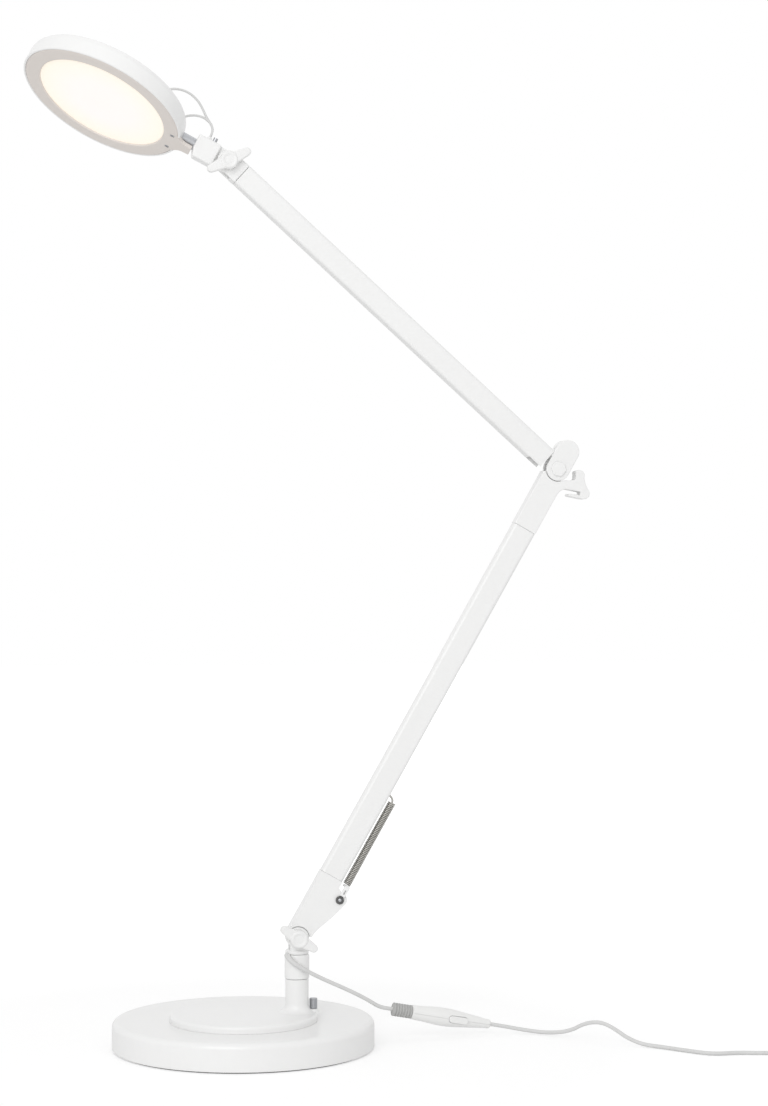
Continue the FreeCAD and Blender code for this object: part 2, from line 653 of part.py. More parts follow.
# ---------------------------------------------------------------- upper arm
def make_knuckle():
    """The upper arm's clevis at the elbow: round cheeks, the long lobe, a drum and the tube's plug.

    It is drawn in the lower arm's directions about the elbow axis, where the lobe lies along X.
    """
    lobe = plate_xz([
        (0.0, LOBE_R), ((-LOBE_R, 0.0), (0.0, -LOBE_R)), (LOBE_OUT, -LOBE_R),
        ((LOBE_OUT + LOBE_R, 0.0), (LOBE_OUT, LOBE_R))], -CHEEK_OUT, CHEEK_OUT)
    turn = UPPER_DEG - LOWER_DEG
    turn_to_upper = placed(lobe, ORIGIN, -turn)
    tip_x = NOTCH_L - 4.0
    web = -UP_W / 2 + ARM_WALL + PLUG_GAP
    half_d = UP_D / 2 - ARM_WALL - PLUG_GAP
    tab = box(4.0, tip_x, -half_d, half_d, web, web + 3.4)
    neck = box(2.0, ELBOW_TUBE_X - 0.1, -CHEEK_OUT, CHEEK_OUT, -UP_W / 2, web + 3.4)
    knuckle = joined([turn_to_upper, tab, neck])
    # room between the cheeks for the lower arm's tongue over the whole travel
    room = cyl_y(ELBOW_TONGUE_R + 0.5, -CHEEK_IN, CHEEK_IN)
    sweep = plate_xz([(0.0, -ELBOW_TONGUE_R), (30.0, -ELBOW_TONGUE_R + 2.4), (30.0, 40.0), (-30.0, 40.0),
                      (-30.0, -14.0), (0.0, -ELBOW_TONGUE_R)], -CHEEK_IN, CHEEK_IN)
    knuckle = knuckle.cut(room).cut(sweep)
    drum = cyl_y(PULL_R - PULL_WIRE_R - 0.05, PULL_Y - PULL_WIRE_R - 0.4, CHEEK_IN + 0.1)
    knuckle = knuckle.fuse(drum)
    knuckle = knuckle.cut(cyl_y(PIVOT_R + 0.1, -20, 20))
    parts["elbow_knuckle"] = on_upper(knuckle.cut(upper_tube()))
    frames = []
    for k in range(WRAP_STEPS + 1):
        a = math.radians(WRAP_FIRST + (WRAP_LAST - WRAP_FIRST) * k / WRAP_STEPS)
        out = V(math.cos(a), 0, math.sin(a))
        frames.append((V(0, PULL_Y, 0) + out * PULL_R, out, BACK))
    parts["drum_wrap"] = placed(tube_through(frames, PULL_WIRE_R, WIRE_SIDES), P2, LOWER_DEG)


def upper_tube():
    """The upper arm's tube, open underneath at the elbow end, in the arm's own frame."""
    tube = hollow_bar(ELBOW_TUBE_X, UPPER_L - HEAD_CAST_L, UP_W, UP_D)
    notch = box(0, NOTCH_L, -UP_D / 2 + ARM_WALL, UP_D / 2 - ARM_WALL, 0, UP_W)
    notch = notch.fuse(cyl_y(UP_W / 2 - 1, -UP_D / 2 + ARM_WALL, UP_D / 2 - ARM_WALL, NOTCH_L, UP_W / 2))
    low_edge = box(0, ELBOW_TUBE_X + 12, -UP_D, UP_D, UP_W / 2 - 2.2, UP_W)
    return tube.cut(notch).cut(low_edge)


def make_elbow_bolt():
    """The elbow's bolt and its hexagonal front cap."""
    head = cyl_y(BOLT_CAP_R, CHEEK_OUT, CHEEK_OUT + BOLT_CAP_T)
    shank = cyl_y(PIVOT_R, -CHEEK_OUT, CHEEK_OUT + 0.5)
    parts["elbow_bolt"] = on_upper(head.fuse(shank))
    corners = [polar(V(0, -CHEEK_OUT - CAP_T, 0), CAP_ACROSS, 60 * k) for k in range(7)]
    cap = Part.Face(Part.makePolygon(corners)).extrude(V(0, CAP_T, 0))
    cap = cap.makeChamfer(0.5, [e for e in cap.Edges if e.BoundBox.YMax < -CHEEK_OUT - CAP_T + 0.1])
    parts["elbow_cap"] = on_upper(cap)


def make_arm_end():
    """The upper arm's head-end casting: plug, stepped body and the clevis on the tilt axis."""
    start = UPPER_L - HEAD_CAST_L + 0.1
    web_end = UPPER_L - HUB_R - 0.8
    body = bar(start, web_end, UP_W, CHEEK_OUT * 2, 1.2)
    cheeks = []
    for side in (-1, 1):
        y0, y1 = sorted((side * CHEEK_IN, side * CHEEK_OUT))
        cheeks.append(plate_xz([
            (web_end - 2, -HUB_R), (UPPER_L, -HUB_R), ((UPPER_L + HUB_R, 0.0), (UPPER_L, HUB_R)),
            (web_end - 2, HUB_R)], y0, y1))
    casting = joined([body, plug(start - PLUG_L, start + 2, UP_W, UP_D)] + cheeks)
    parts["arm_end_clevis"] = on_upper(casting.cut(cyl_y(PIVOT_R + 0.1, -20, 20, UPPER_L)))


# ---------------------------------------------------------------- head
def make_head_block():
    """Tongue on the tilt axis and the block that the head's shaft turns in."""
    x_hub = HEAD_L
    reach = HUB_R + 1.4
    block = plate_xz([
        (BLOCK_X, -3.4), (BLOCK_X + 2.6, BLOCK_LOW), (x_hub - reach, BLOCK_LOW),
        (x_hub - reach, BLOCK_HIGH), (BLOCK_X, BLOCK_HIGH)], -BLOCK_D / 2, BLOCK_D / 2)
    block = chamfered(block, 1.2, lambda b: b.YLength < 1e-6)
    tongue = cyl_y(HUB_R - 0.4, -TONGUE_D / 2, TONGUE_D / 2, x_hub).fuse(
        box(x_hub - reach - 1, x_hub, -TONGUE_D / 2, TONGUE_D / 2, -HUB_R + 0.8, HUB_R - 0.8))
    stub = cyl(2.0, STUB_L + 1.0, V(STUB_X, 0, BLOCK_HIGH - 1.0))
    casting = joined([block, tongue, stub])
    casting = casting.cut(cyl_y(PIVOT_R + RUN_GAP, -20, 20, x_hub))
    bore_l = ROLL_END + 0.6 - BLOCK_X + 5
    casting = casting.cut(cyl(ROLL_R + RUN_GAP, bore_l, V(BLOCK_X - 5, 0, 0), V(1, 0, 0)))
    screw_x = ROLL_END - ROLL_GROOVE
    casting = casting.cut(cyl(1.55, BLOCK_HIGH + 4, V(screw_x, 0, 0)))
    parts["head_block"] = on_block(casting)
    screw = cyl(1.5, BLOCK_HIGH + 0.5 - (ROLL_R - 0.6), V(screw_x, 0, ROLL_R - 0.6))
    screw = screw.fuse(cyl(ROLL_SCREW_R, 4.2, V(screw_x, 0, BLOCK_HIGH + 0.05)))
    parts["roll_screw"] = on_block(screw)


def make_head_shaft():
    """The shaft that carries the head: flange inside the housing, ring groove at its free end."""
    shaft = cyl(ROLL_R, ROLL_END - ROLL_START, V(ROLL_START, 0, 0), V(1, 0, 0))
    groove_x = ROLL_END - ROLL_GROOVE - 1.7
    groove = cyl(ROLL_R + 1, 3.4, V(groove_x, 0, 0), V(1, 0, 0)).cut(
        cyl(ROLL_R - 0.9, 3.4, V(groove_x, 0, 0), V(1, 0, 0)))
    x0, x1, half = FLANGE_X, FLANGE_X + FLANGE_T, FLANGE_W / 2
    flange = box(x0, x1, -half, half, 4.6, HOUSING_TOP - HOUSING_WALL - 0.1).fuse(
        box(x0, x1, -half, half, -0.1, ROLL_R))
    shaft = joined([shaft.cut(groove), flange])
    parts["roll_shaft"] = on_head(shaft)


def make_housing():
    """The pressed back housing with bosses for the two bezel screws."""
    front = -HEAD_DROP + BEZEL_T + 0.05
    top = HOUSING_TOP
    r = HOUSING_R
    q = HOUSING_ROUND
    w = HOUSING_WALL
    shell = turned([(0.0, top - w)] + bands(r - q, top - q, q - w, 90, 0, 1)
                   + [(r - w, front), (r, front)] + bands(r - q, top - q, q, 0, 90, 3) + [(0.0, top)])
    bosses = []
    for side in (-1, 1):
        boss = cyl(3.2, top - w + 0.2 - front, V(SCREW_X, side * SCREW_Y, front))
        bosses.append(boss)
    shell = joined([shell] + bosses)
    for side in (-1, 1):
        shell = shell.cut(cyl(1.25, 8.0, V(SCREW_X, side * SCREW_Y, front - 1)))
    notch = ROLL_R + 0.05
    shell = shell.cut(cyl(notch, SHAFT_SLOT_L, V(FLANGE_X, 0, 0), V(1, 0, 0)))
    shell = shell.cut(box(FLANGE_X, FLANGE_X + SHAFT_SLOT_L, -notch, notch, front - 1, 0))
    parts["head_housing"] = on_head(shell)


def make_bezel():
    """The grey front ring with its tapered tail, a rebate behind for the diffuser and two screws."""
    face = -HEAD_DROP
    disc = cyl(BEZEL_R, BEZEL_T, V(0, 0, face))
    root = SCREW_X - TAIL_BACK
    tail = outline([
        (root, -TAIL_ROOT_W - TAIL_FLARE), (BEZEL_R - TAIL_SET, -TAIL_ROOT_W), (TAIL_X, -TAIL_TIP_W),
        (TAIL_X, TAIL_TIP_W), (BEZEL_R - TAIL_SET, TAIL_ROOT_W), (root, TAIL_ROOT_W + TAIL_FLARE)],
        lambda p: V(p[0], p[1], face))
    bezel = joined([disc, tail.extrude(V(0, 0, BEZEL_T))])
    bezel = chamfered(bezel, 0.8, lambda b: b.ZMax < face + 0.01)
    bezel = bezel.cut(Part.makeCone(BEZEL_IN, BEZEL_IN - 1.0, BEZEL_LIP, V(0, 0, face)))
    bezel = bezel.cut(cyl(BEZEL_IN - 1.0, BEZEL_T, V(0, 0, face)))
    bezel = bezel.cut(cyl(BEZEL_IN + 3.0, BEZEL_T, V(0, 0, face + BEZEL_LIP)))
    screws = []
    for side in (-1, 1):
        y = side * SCREW_Y
        bezel = bezel.cut(cyl(SCREW_R + 0.1, 1.7, V(SCREW_X, y, face)))
        bezel = bezel.cut(cyl(1.25, BEZEL_T, V(SCREW_X, y, face)))
        head = cyl(SCREW_R, 1.5, V(SCREW_X, y, face + 0.1))
        screws.append(head.fuse(cyl(1.15, 8.0, V(SCREW_X, y, face + 1.0))))
    parts["head_bezel"] = on_head(bezel)
    parts["bezel_screws"] = on_head(Part.makeCompound(screws))
    parts["diffuser"] = on_head(cyl(BEZEL_IN + 2.8, DIFFUSER_T, V(0, 0, face + BEZEL_LIP + 0.05)))


def make_light():
    """Reflector ring, board with its light chips and the plate that spreads their heat."""
    board_z = HOUSING_TOP - HOUSING_WALL - SINK_T - BOARD_T - 0.2
    front = -HEAD_DROP + BEZEL_T + 0.1
    ring_r = BOARD_R - 3.0
    reflector = ring(ring_r, ring_r - REFLECTOR_WALL, front, board_z - 0.05)
    trim = box(FLANGE_X - 4.0, BEZEL_R, -TRIM_W, TRIM_W, -BEZEL_R, BEZEL_R)
    parts["reflector_ring"] = on_head(reflector.cut(trim))
    trim = box(FLANGE_X - 1.5, BEZEL_R, -TRIM_W - 0.5, TRIM_W + 0.5, -BEZEL_R, BEZEL_R)
    parts["led_board"] = on_head(cyl(BOARD_R, BOARD_T, V(0, 0, board_z)).cut(trim))
    parts["heat_plate"] = on_head(cyl(BOARD_R, SINK_T, V(0, 0, board_z + BOARD_T + 0.05)).cut(trim))
    chips = []
    for k in range(LED_COUNT):
        p = polar(ORIGIN, LED_RING_R, 360 * (k + 0.5) / LED_COUNT)
        x, y, half, top = p.x, p.z, LED_W / 2, board_z - 0.02
        chips.append(box(x - half, x + half, y - half, y + half, top - LED_T, top))
    parts["led_chips"] = on_head(Part.makeCompound(chips))


# ---------------------------------------------------------------- cords
def route_wire(points):
    """Straight runs joined by the largest tangent arcs that they allow; prints the least radius."""
    edges = []
    here = points[0]
    radii = []
    for before, corner, after in zip(points, points[1:], points[2:]):
        d_in, d_out = corner - before, after - corner
        turn = d_in.getAngle(d_out)
        back_off = 0.45 * min(d_in.Length, d_out.Length)
        radii.append(back_off / math.tan(turn / 2))
        u_in, u_out = d_in.normalize(), d_out.normalize()
        enter, leave = corner - u_in * back_off, corner + u_out * back_off
        middle_way = (u_out - u_in)
        middle_way.normalize()
        sagitta = radii[-1] * (1 / math.cos(turn / 2) - 1)
        edges.append(Part.LineSegment(here, enter).toShape())
        edges.append(Part.Arc(enter, corner + middle_way * sagitta, leave).toShape())
        here = leave
    edges.append(Part.LineSegment(here, points[-1]).toShape())
    print("route radii", [round(r, 1) for r in radii], "length", round(sum(e.Length for e in edges), 1))
    return Part.Wire(edges)


def cord_tube(points, radius, sides, label):
    """A cord's solid: an even-sided section along its route, its volume compared with the section's."""
    route = route_wire(points)
    along = points[1] - points[0]
    along.normalize()
    first = along.cross(BACK if abs(along.z) > 0.9 else UP)
    first.normalize()
    second = along.cross(first)
    corners = []
    for k in range(sides):
        a = 2 * math.pi * (k + 0.5) / sides
        corners.append(points[0] + first * (radius * math.cos(a)) + second * (radius * math.sin(a)))
    section = Part.makePolygon(corners + [corners[0]])
    tube = route.makePipeShell([section], True, False)
    area = 0.5 * sides * radius ** 2 * math.sin(2 * math.pi / sides)
    print(label, "volume ratio", round(tube.Volume / (area * route.Length), 4), "valid", tube.isValid())
    return tube


def adapter_frame():
    """Start, direction and cross directions of the inline switch body."""
    start = V(127.9, 5.0, 26.9)
    along = V(0.9757, 0.1012, -0.1943)
    along.normalize()
    side = UP.cross(along)
    side.normalize()
    return start, along, side, along.cross(side)


def on_adapter(shape):
    """From the inline body's frame: X along it, Y to its back, Z up."""
    start, along, side, top = adapter_frame()
    matrix = FreeCAD.Matrix(along.x, side.x, top.x, start.x, along.y, side.y, top.y, start.y,
                            along.z, side.z, top.z, start.z, 0, 0, 0, 1)
    return shape.transformed(matrix)


def make_lamp_cord():
    """The sleeve across the collar's front, and the cord's stretch from it to the inline switch."""
    sleeve_path = [V(36.2, -4.6, 77.0), V(37.2, -11.0, 74.6), V(43.0, -13.6, 69.6), V(52.4, -12.4, 64.2)]
    sleeve = cord_tube(sleeve_path, GLAND_R, 12, "gland")
    parts["cord_gland"] = sleeve.cut(cyl(COLLAR_R + 0.02, 80, V(POST_X, 0, 20)))
    start, along, _, _ = adapter_frame()
    leaving = sleeve_path[-1] - sleeve_path[-2]
    route = [sleeve_path[-1], sleeve_path[-1] + leaving, V(86.4, -4.6, 47.0), V(106.0, 0.2, 36.4),
             start - along * 12.0, start]
    parts["lamp_cord"] = cord_tube(route, CORD_R, CORD_SIDES, "lamp cord")


def make_adapter():
    """The inline switch: ribbed grip, body in two halves, and its push button in the front."""
    grip = [(0.0, 0.0), (0.0, GRIP_R - 1.2)]
    rib = GRIP_L / GRIP_RIBS
    for k in range(GRIP_RIBS):
        grip += [(k * rib + 0.8, GRIP_R), ((k + 1) * rib - 0.8, GRIP_R), ((k + 1) * rib - 0.05, GRIP_R - 0.8)]
    grip += [(GRIP_L - 0.05, 0.0)]
    parts["adapter_grip"] = on_adapter(turned_along(grip))
    body = turned_along([
        (GRIP_L, 0.0), (GRIP_L, 6.0), (27.0, 6.6), (37.0, 7.6), (50.0, 7.6), (62.0, 6.7),
        (74.0, 5.4), (ADAPTER_L - 1.0, 3.9), (ADAPTER_L, 2.9), (ADAPTER_L, 0.0)])
    well = box(BUTTON_X - 9.0, BUTTON_X + 9.0, -12, -2.0, -3.2, 3.2)
    well = rounded(well, 3.0, lambda b: b.YLength > 9.9)
    body = body.cut(well)
    upper = body.common(box(0, 100, -20, 20, 0.02, 20))
    lower = body.common(box(0, 100, -20, 20, -20, -0.02))
    parts["adapter_upper"] = on_adapter(upper)
    parts["adapter_lower"] = on_adapter(lower)
    button = box(BUTTON_X - 8.7, BUTTON_X + 8.7, -8.2, -2.0 - BUTTON_TRAVEL - SEAT_GAP, -2.9, 2.9)
    button = rounded(button, 2.7, lambda b: b.YLength > 4 and b.XLength < 1e-6)
    button = chamfered(button, 0.6, lambda b: b.YMax < -8.1)
    parts["switch_button"] = on_adapter(button)


def coil_frames():
    """Centre line of the put-away cord: in along the lower layer, up half a turn, out along the upper."""
    gap = CORD_D + COIL_GAP
    r_in = COIL_MID_R - gap * COIL_TURNS / 2
    upper_turns = COIL_TURNS - 0.5
    total = COIL_TURNS + 0.5 + upper_turns
    r_out = r_in + gap * COIL_TURNS
    centre = V(COIL_X, COIL_LINE_Y + r_out, CORD_R + 0.05)
    rows = []
    steps = int(total * COIL_STEPS)
    for k in range(steps + 1):
        t = k / COIL_STEPS
        if t <= COIL_TURNS:
            r, z = r_out - gap * t, 0.0
        elif t <= COIL_TURNS + 0.5:
            climb = 2 * math.pi * (t - COIL_TURNS)
            r, z = r_in - COIL_DIP * math.sin(climb), gap * (1 - math.cos(climb)) / 2
        else:
            r, z = r_in + gap * (t - COIL_TURNS - 0.5), gap
        a = 2 * math.pi * t - math.pi / 2
        rows.append((centre + V(r * math.cos(a), r * math.sin(a), z), V(math.cos(a), math.sin(a), 0)))
    lead = V(1, 0, 0)
    rows.insert(0, (rows[0][0] - lead * CORD_D, rows[0][1]))
    rows.append((rows[-1][0] + lead * CORD_D, rows[-1][1]))
    return [(point, out, UP) for point, out in rows]


def make_supply_cord():
    """The free cord on the table, its coil, the last stretch and the plug."""
    start, along, _, _ = adapter_frame()
    end = start + along * ADAPTER_L
    frames = coil_frames()
    coil_start, coil_end = frames[0][0], frames[-1][0]
    low = CORD_R + 0.05
    route = [end, end + along * 12.5, V(247, 13.2, 3.2), V(265, 3.4, 2.2), V(279, -12.6, 6.4),
             V(288.8, -25.5, 15.4), V(299, -38.0, 18.4), V(308, -45.5, 14.6), V(318.5, -52, 6.8),
             V(330, -58.5, 2.2), V(345, -70.5, low), V(359.5, -88, low + 0.1), V(376.5, -105, low),
             V(397.5, -103, low + 0.1), V(422, -109, low), V(447, COIL_LINE_Y, low),
             coil_start]
    parts["table_cord"] = cord_tube(route, CORD_R, CORD_SIDES, "table cord")
    print("coil self-gap", round(self_gap(frames, COIL_STEPS - 3, CORD_R), 3), "mm")
    parts["cord_coil"] = tube_through(frames, CORD_R, COIL_SIDES)
    z = coil_end.z
    leg = [coil_end, V(coil_end.x + 11, coil_end.y, z), V(coil_end.x + 25, coil_end.y - 3.0, z),
           V(coil_end.x + 38, coil_end.y - 7.4, z)]
    parts["plug_cord"] = cord_tube(leg, CORD_R, CORD_SIDES, "plug cord")
    make_plug(leg[-1], leg[-1] - leg[-2])


def make_plug(entry, direction):
    """A flat two-pin plug with a tapered, ribbed tail, lying on the table."""
    turn = math.degrees(math.atan2(direction.y, direction.x))
    w, l = PLUG_W / 2, PLUG_L_BODY
    face = outline([
        (0.0, -3.4), (8.0, -4.2), ((17.0, -9.8), (25.0, -w)), (l, -w), (l, w), (25.0, w),
        ((17.0, 9.8), (8.0, 4.2)), (0.0, 3.4)], lambda p: V(p[0], p[1], -PLUG_T / 2))
    body = face.extrude(V(0, 0, PLUG_T))
    body = chamfered(body, 1.6, lambda b: b.ZLength < 1e-6 and b.XMin > 7.9 and b.XLength > 1e-6)
    for x in (1.8, 4.2, 6.6):
        groove = box(x, x + 1.0, -10, 10, -10, 10).cut(box(x - 1, x + 3, -2.9, 2.9, -4.6, 4.6))
        body = body.cut(groove)
    pins = []
    for side in (-1, 1):
        y = side * PLUG_PIN_GAP / 2
        hole = cyl(PLUG_PIN_R + 0.02, 9.0, V(l - 8.0, y, 0), V(1, 0, 0))
        body = body.cut(hole)
        pin = cyl(PLUG_PIN_R, PLUG_PIN_L + 8.0, V(l - 8.0, y, 0), V(1, 0, 0))
        pins.append(chamfered(pin, 1.0, lambda b: b.XMin > l + PLUG_PIN_L - 0.1))
    for name, shape in (("plug_body", body), ("plug_pins", Part.makeCompound(pins))):
        moved = shape.copy()
        moved.rotate(ORIGIN, UP, turn)
        moved.translate(V(entry.x, entry.y, PLUG_T / 2))
        parts[name] = moved


def make_head_cable():
    """Two thin leads from the block's stub: one in a high loop, one low, both into the housing's back.

    The housing's back is rolled against the block, so each lead ends square on a collar that is.
    """
    roll = math.radians(ROLL_DEG)
    square = V(0, -math.sin(roll), math.cos(roll))
    back_z = HOUSING_TOP / math.cos(roll)

    def over_back(x, height):
        """A point at that height over the housing's back, square above the leads' own plane."""
        return V(x, 0, back_z) + square * height
    stub_top = V(STUB_X, 0, BLOCK_HIGH + STUB_L)
    high = [stub_top, V(STUB_X, 0, 17.0), V(88.5, 0, 21.4), V(81.6, 0, 25.0), V(75.8, 0, 29.8),
            V(68.0, 0, 34.6), V(57.5, 0, 36.6), V(46.5, 0, 33.4), V(39.0, 0, 26.0),
            over_back(36.5, COLLAR_L + 6.0), over_back(36.5, COLLAR_L)]
    low = [V(85.4, 0, 23.0), V(79.4, 0, 23.8), V(73.6, 0.4, 22.5), V(68.6, 1.1, 19.8),
           V(65.0, 1.5, 16.5), over_back(63.8, COLLAR_L + 2.7), over_back(63.8, COLLAR_L)]
    leads = [cord_tube(high, CABLE_R, LEAD_SIDES, "high lead")]
    leads.append(cord_tube(low, CABLE_R, LEAD_SIDES, "low lead"))
    parts["head_cable"] = on_block(joined(leads))
    collars = []
    for x in (36.5, 63.8):
        collars.append(cyl(2.4, COLLAR_L, V(x, HOUSING_TOP * math.tan(roll), HOUSING_TOP)))
    parts["cable_collars"] = on_head(Part.makeCompound(collars))


# ---------------------------------------------------------------- the whole lamp
make_plate_and_weight()
make_cover()
make_post_foot()
make_knurled_knob()
make_swivel()
make_bolts_and_knobs()
make_lower_tube()
make_lower_casting()
make_spring_pin()
make_elbow_casting()
make_spring()
make_pull()
parts["upper_tube"] = on_upper(upper_tube())
make_knuckle()
make_elbow_bolt()
make_arm_end()
make_head_block()
make_head_shaft()
make_housing()
make_bezel()
make_light()
make_head_cable()
make_lamp_cord()
make_adapter()
make_supply_cord()

for node, shape in parts.items():
    for solid in shape.Solids:
        if not solid.isValid() or solid.Volume <= 0:
            print("BAD SOLID", node, solid.isValid(), solid.Volume)
    print(node, "solids", len(shape.Solids), "volume", round(shape.Volume, 1))
    shape.exportStep("parts/" + node + ".step")
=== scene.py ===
"""Looks for a spring-balanced desk lamp: white enamel, a lit round head, an outside spring and a white cord.

Sizes are in millimetres in the lamp's own frame, +Z up, and become metres where a mesh is placed. Each arm
and the head have a station: X along it, Y across, Z to its upper side.
"""

import json
import logging
import math
from collections.abc import Callable
from dataclasses import dataclass
from enum import Enum

import bpy
from mathutils import Matrix, Vector

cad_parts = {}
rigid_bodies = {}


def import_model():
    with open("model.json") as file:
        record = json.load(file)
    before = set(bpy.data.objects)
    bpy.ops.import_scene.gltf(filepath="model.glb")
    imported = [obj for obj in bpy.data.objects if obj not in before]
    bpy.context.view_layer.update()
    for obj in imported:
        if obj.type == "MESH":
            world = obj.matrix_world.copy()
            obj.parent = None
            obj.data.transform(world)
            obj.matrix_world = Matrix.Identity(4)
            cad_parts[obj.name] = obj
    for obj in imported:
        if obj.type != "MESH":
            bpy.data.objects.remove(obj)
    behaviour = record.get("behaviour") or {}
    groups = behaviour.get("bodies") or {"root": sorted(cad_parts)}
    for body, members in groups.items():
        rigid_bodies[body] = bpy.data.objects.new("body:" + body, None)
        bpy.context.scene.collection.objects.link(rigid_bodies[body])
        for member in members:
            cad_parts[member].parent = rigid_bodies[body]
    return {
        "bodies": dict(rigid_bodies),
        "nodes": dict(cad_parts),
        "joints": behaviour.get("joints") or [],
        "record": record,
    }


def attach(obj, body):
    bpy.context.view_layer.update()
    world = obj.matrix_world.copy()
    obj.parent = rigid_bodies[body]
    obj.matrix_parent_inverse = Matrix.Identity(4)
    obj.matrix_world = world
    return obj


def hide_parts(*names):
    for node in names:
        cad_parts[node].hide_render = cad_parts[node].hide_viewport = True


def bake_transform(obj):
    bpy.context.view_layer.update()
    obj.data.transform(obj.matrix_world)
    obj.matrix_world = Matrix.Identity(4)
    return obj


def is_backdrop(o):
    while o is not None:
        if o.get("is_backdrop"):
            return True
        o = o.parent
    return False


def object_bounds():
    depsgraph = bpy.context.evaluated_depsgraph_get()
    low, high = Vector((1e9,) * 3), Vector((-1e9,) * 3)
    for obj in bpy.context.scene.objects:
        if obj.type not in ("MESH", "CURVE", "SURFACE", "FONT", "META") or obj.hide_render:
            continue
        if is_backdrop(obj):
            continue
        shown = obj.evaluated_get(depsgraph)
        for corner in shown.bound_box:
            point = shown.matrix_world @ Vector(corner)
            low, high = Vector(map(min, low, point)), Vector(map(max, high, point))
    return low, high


LOG = logging.getLogger("desk_lamp")
MM = 0.001
BUMP_STRENGTH, TINT_ROUGHNESS, RIM_SHARE = 0.6, 0.5, 0.7
Point = tuple[float, float]
Outline = list[Point | tuple[Point, Point]]
Socket = bpy.types.NodeSocket


class Body(str, Enum):
    """The lamp's moving bodies."""

    STAND = "stand"
    DIAL = "knob_dial"
    SWITCH = "switch"
    SWIVEL = "swivel"
    TILT_KNOB = "tilt_knob"
    LOWER = "lower_arm"
    PULL = "pull"
    UPPER = "upper_arm"
    HEAD_KNOB = "head_knob"
    HEAD_JOINT = "head_joint"
    HEAD = "lamp_head"


@dataclass(frozen=True)
class Station:
    """A working frame for one assembly.

    Args:
        x: Place of its origin along the lamp's X, in mm.
        z: Height of its origin, in mm.
        degrees: Angle of its X above the lamp's X.
        roll: Turn about its own X, in degrees.
    """

    x: float = 0.0
    z: float = 0.0
    degrees: float = 0.0
    roll: float = 0.0

    def matrix(self) -> Matrix:
        """Returns the matrix from this station to the lamp's frame, in metres."""
        lift = Matrix.Rotation(-math.radians(self.degrees), 4, "Y")
        turn = lift @ Matrix.Rotation(math.radians(self.roll), 4, "X")
        return Matrix.Translation(Vector((self.x, 0, self.z)) * MM) @ turn

    def out(self, length: float) -> "Station":
        """Returns a station moved along this one's X by that length in mm."""
        a = math.radians(self.degrees)
        return Station(self.x + length * math.cos(a), self.z + length * math.sin(a), self.degrees, self.roll)

    def turned(self, degrees: float, roll: float = 0.0) -> "Station":
        """Returns a station at the same place that points another way."""
        return Station(self.x, self.z, degrees, roll)


LOWER_LENGTH, UPPER_LENGTH, HEAD_LENGTH = 455.0, 382.0, 114.5
POST_X = 45.3
HEAD_DROP, HEAD_ROLL = 27.4, -15.0
FLOOR = Station()
POST = Station(POST_X, 0.0)
LOWER = Station(POST_X, 91.3, 60.4)
ELBOW = LOWER.out(LOWER_LENGTH)
UPPER = ELBOW.turned(137.96)
HEAD_TILT = UPPER.out(UPPER_LENGTH)
BLOCK = HEAD_TILT.turned(180 - HEAD_DROP).out(HEAD_LENGTH).turned(-HEAD_DROP)
HEAD = BLOCK.turned(-HEAD_DROP, HEAD_ROLL)

# Points of the smooth lines in mm: the hook's and the leads' in their stations, the others' in the lamp's frame.
HOOK = ((137.2, 0, -15.6), (139.0, 0, -15.5), (140.9, 0, -13.4), (142.2, 0, -9.8), (145.6, 0, -6.5))
HIGH_LEAD = ((88.5, 0, 21.4), (81.6, 0, 25.0), (75.8, 0, 29.8), (68.0, 0, 34.6), (57.5, 0, 36.6), (46.5, 0, 33.4),
             (39.0, 0, 26.0))
LOW_LEAD = ((88.5, 0, 21.4), (85.4, 0, 23.0), (79.4, 0, 23.8), (73.6, 0.4, 22.5), (68.6, 1.1, 19.8),
            (65.0, 1.5, 16.5))
SLEEVE = ((36.2, -4.6, 77.0), (37.2, -11.0, 74.6), (43.0, -13.6, 69.6), (52.4, -12.4, 64.2))
CORD_DOWN = (SLEEVE[-1], (61.8, -11.2, 58.8), (86.4, -4.6, 47.0), (106.0, 0.2, 36.4))
CORD_ALONG = ((247, 13.2, 3.2), (265, 3.4, 2.2), (279, -12.6, 6.4), (288.8, -25.5, 15.4), (299, -38.0, 18.4),
              (308, -45.5, 14.6), (318.5, -52, 6.8), (330, -58.5, 2.2), (345, -70.5, 1.75), (359.5, -88, 1.85),
              (376.5, -105, 1.75), (397.5, -103, 1.85), (422, -109, 1.75), (447, -108, 1.75))
CORD_OUT = ((14.4, 0.0), (28.4, -3.0), (41.4, -7.4))


# ---------------------------------------------------------------- finishes
def new_group(name: str, inputs: dict[str, float], outputs: dict[str, str]) -> bpy.types.NodeTree:
    """Makes an empty shader node group.

    Args:
        name: The group's name.
        inputs: Name and default of each float input.
        outputs: Name and socket type of each output.

    Returns:
        The group, with its Group Input and Group Output nodes.
    """
    group = bpy.data.node_groups.new(name, "ShaderNodeTree")
    for label, value in inputs.items():
        group.interface.new_socket(label, in_out="INPUT", socket_type="NodeSocketFloat").default_value = value
    for label, kind in outputs.items():
        group.interface.new_socket(label, in_out="OUTPUT", socket_type=kind)
    group.nodes.new("NodeGroupInput")
    group.nodes.new("NodeGroupOutput")
    return group


def fill(tree: bpy.types.NodeTree, node: bpy.types.Node, inputs: dict[str | int, object]) -> None:
    """Links a node's inputs to the sockets given for them and sets the others to the values given.

    Args:
        tree: The node's tree.
        node: The node.
        inputs: Each input's name or index, with a socket or a value.
    """
    for key, value in inputs.items():
        if isinstance(value, Socket):
            tree.links.new(value, node.inputs[key])
        else:
            node.inputs[key].default_value = value


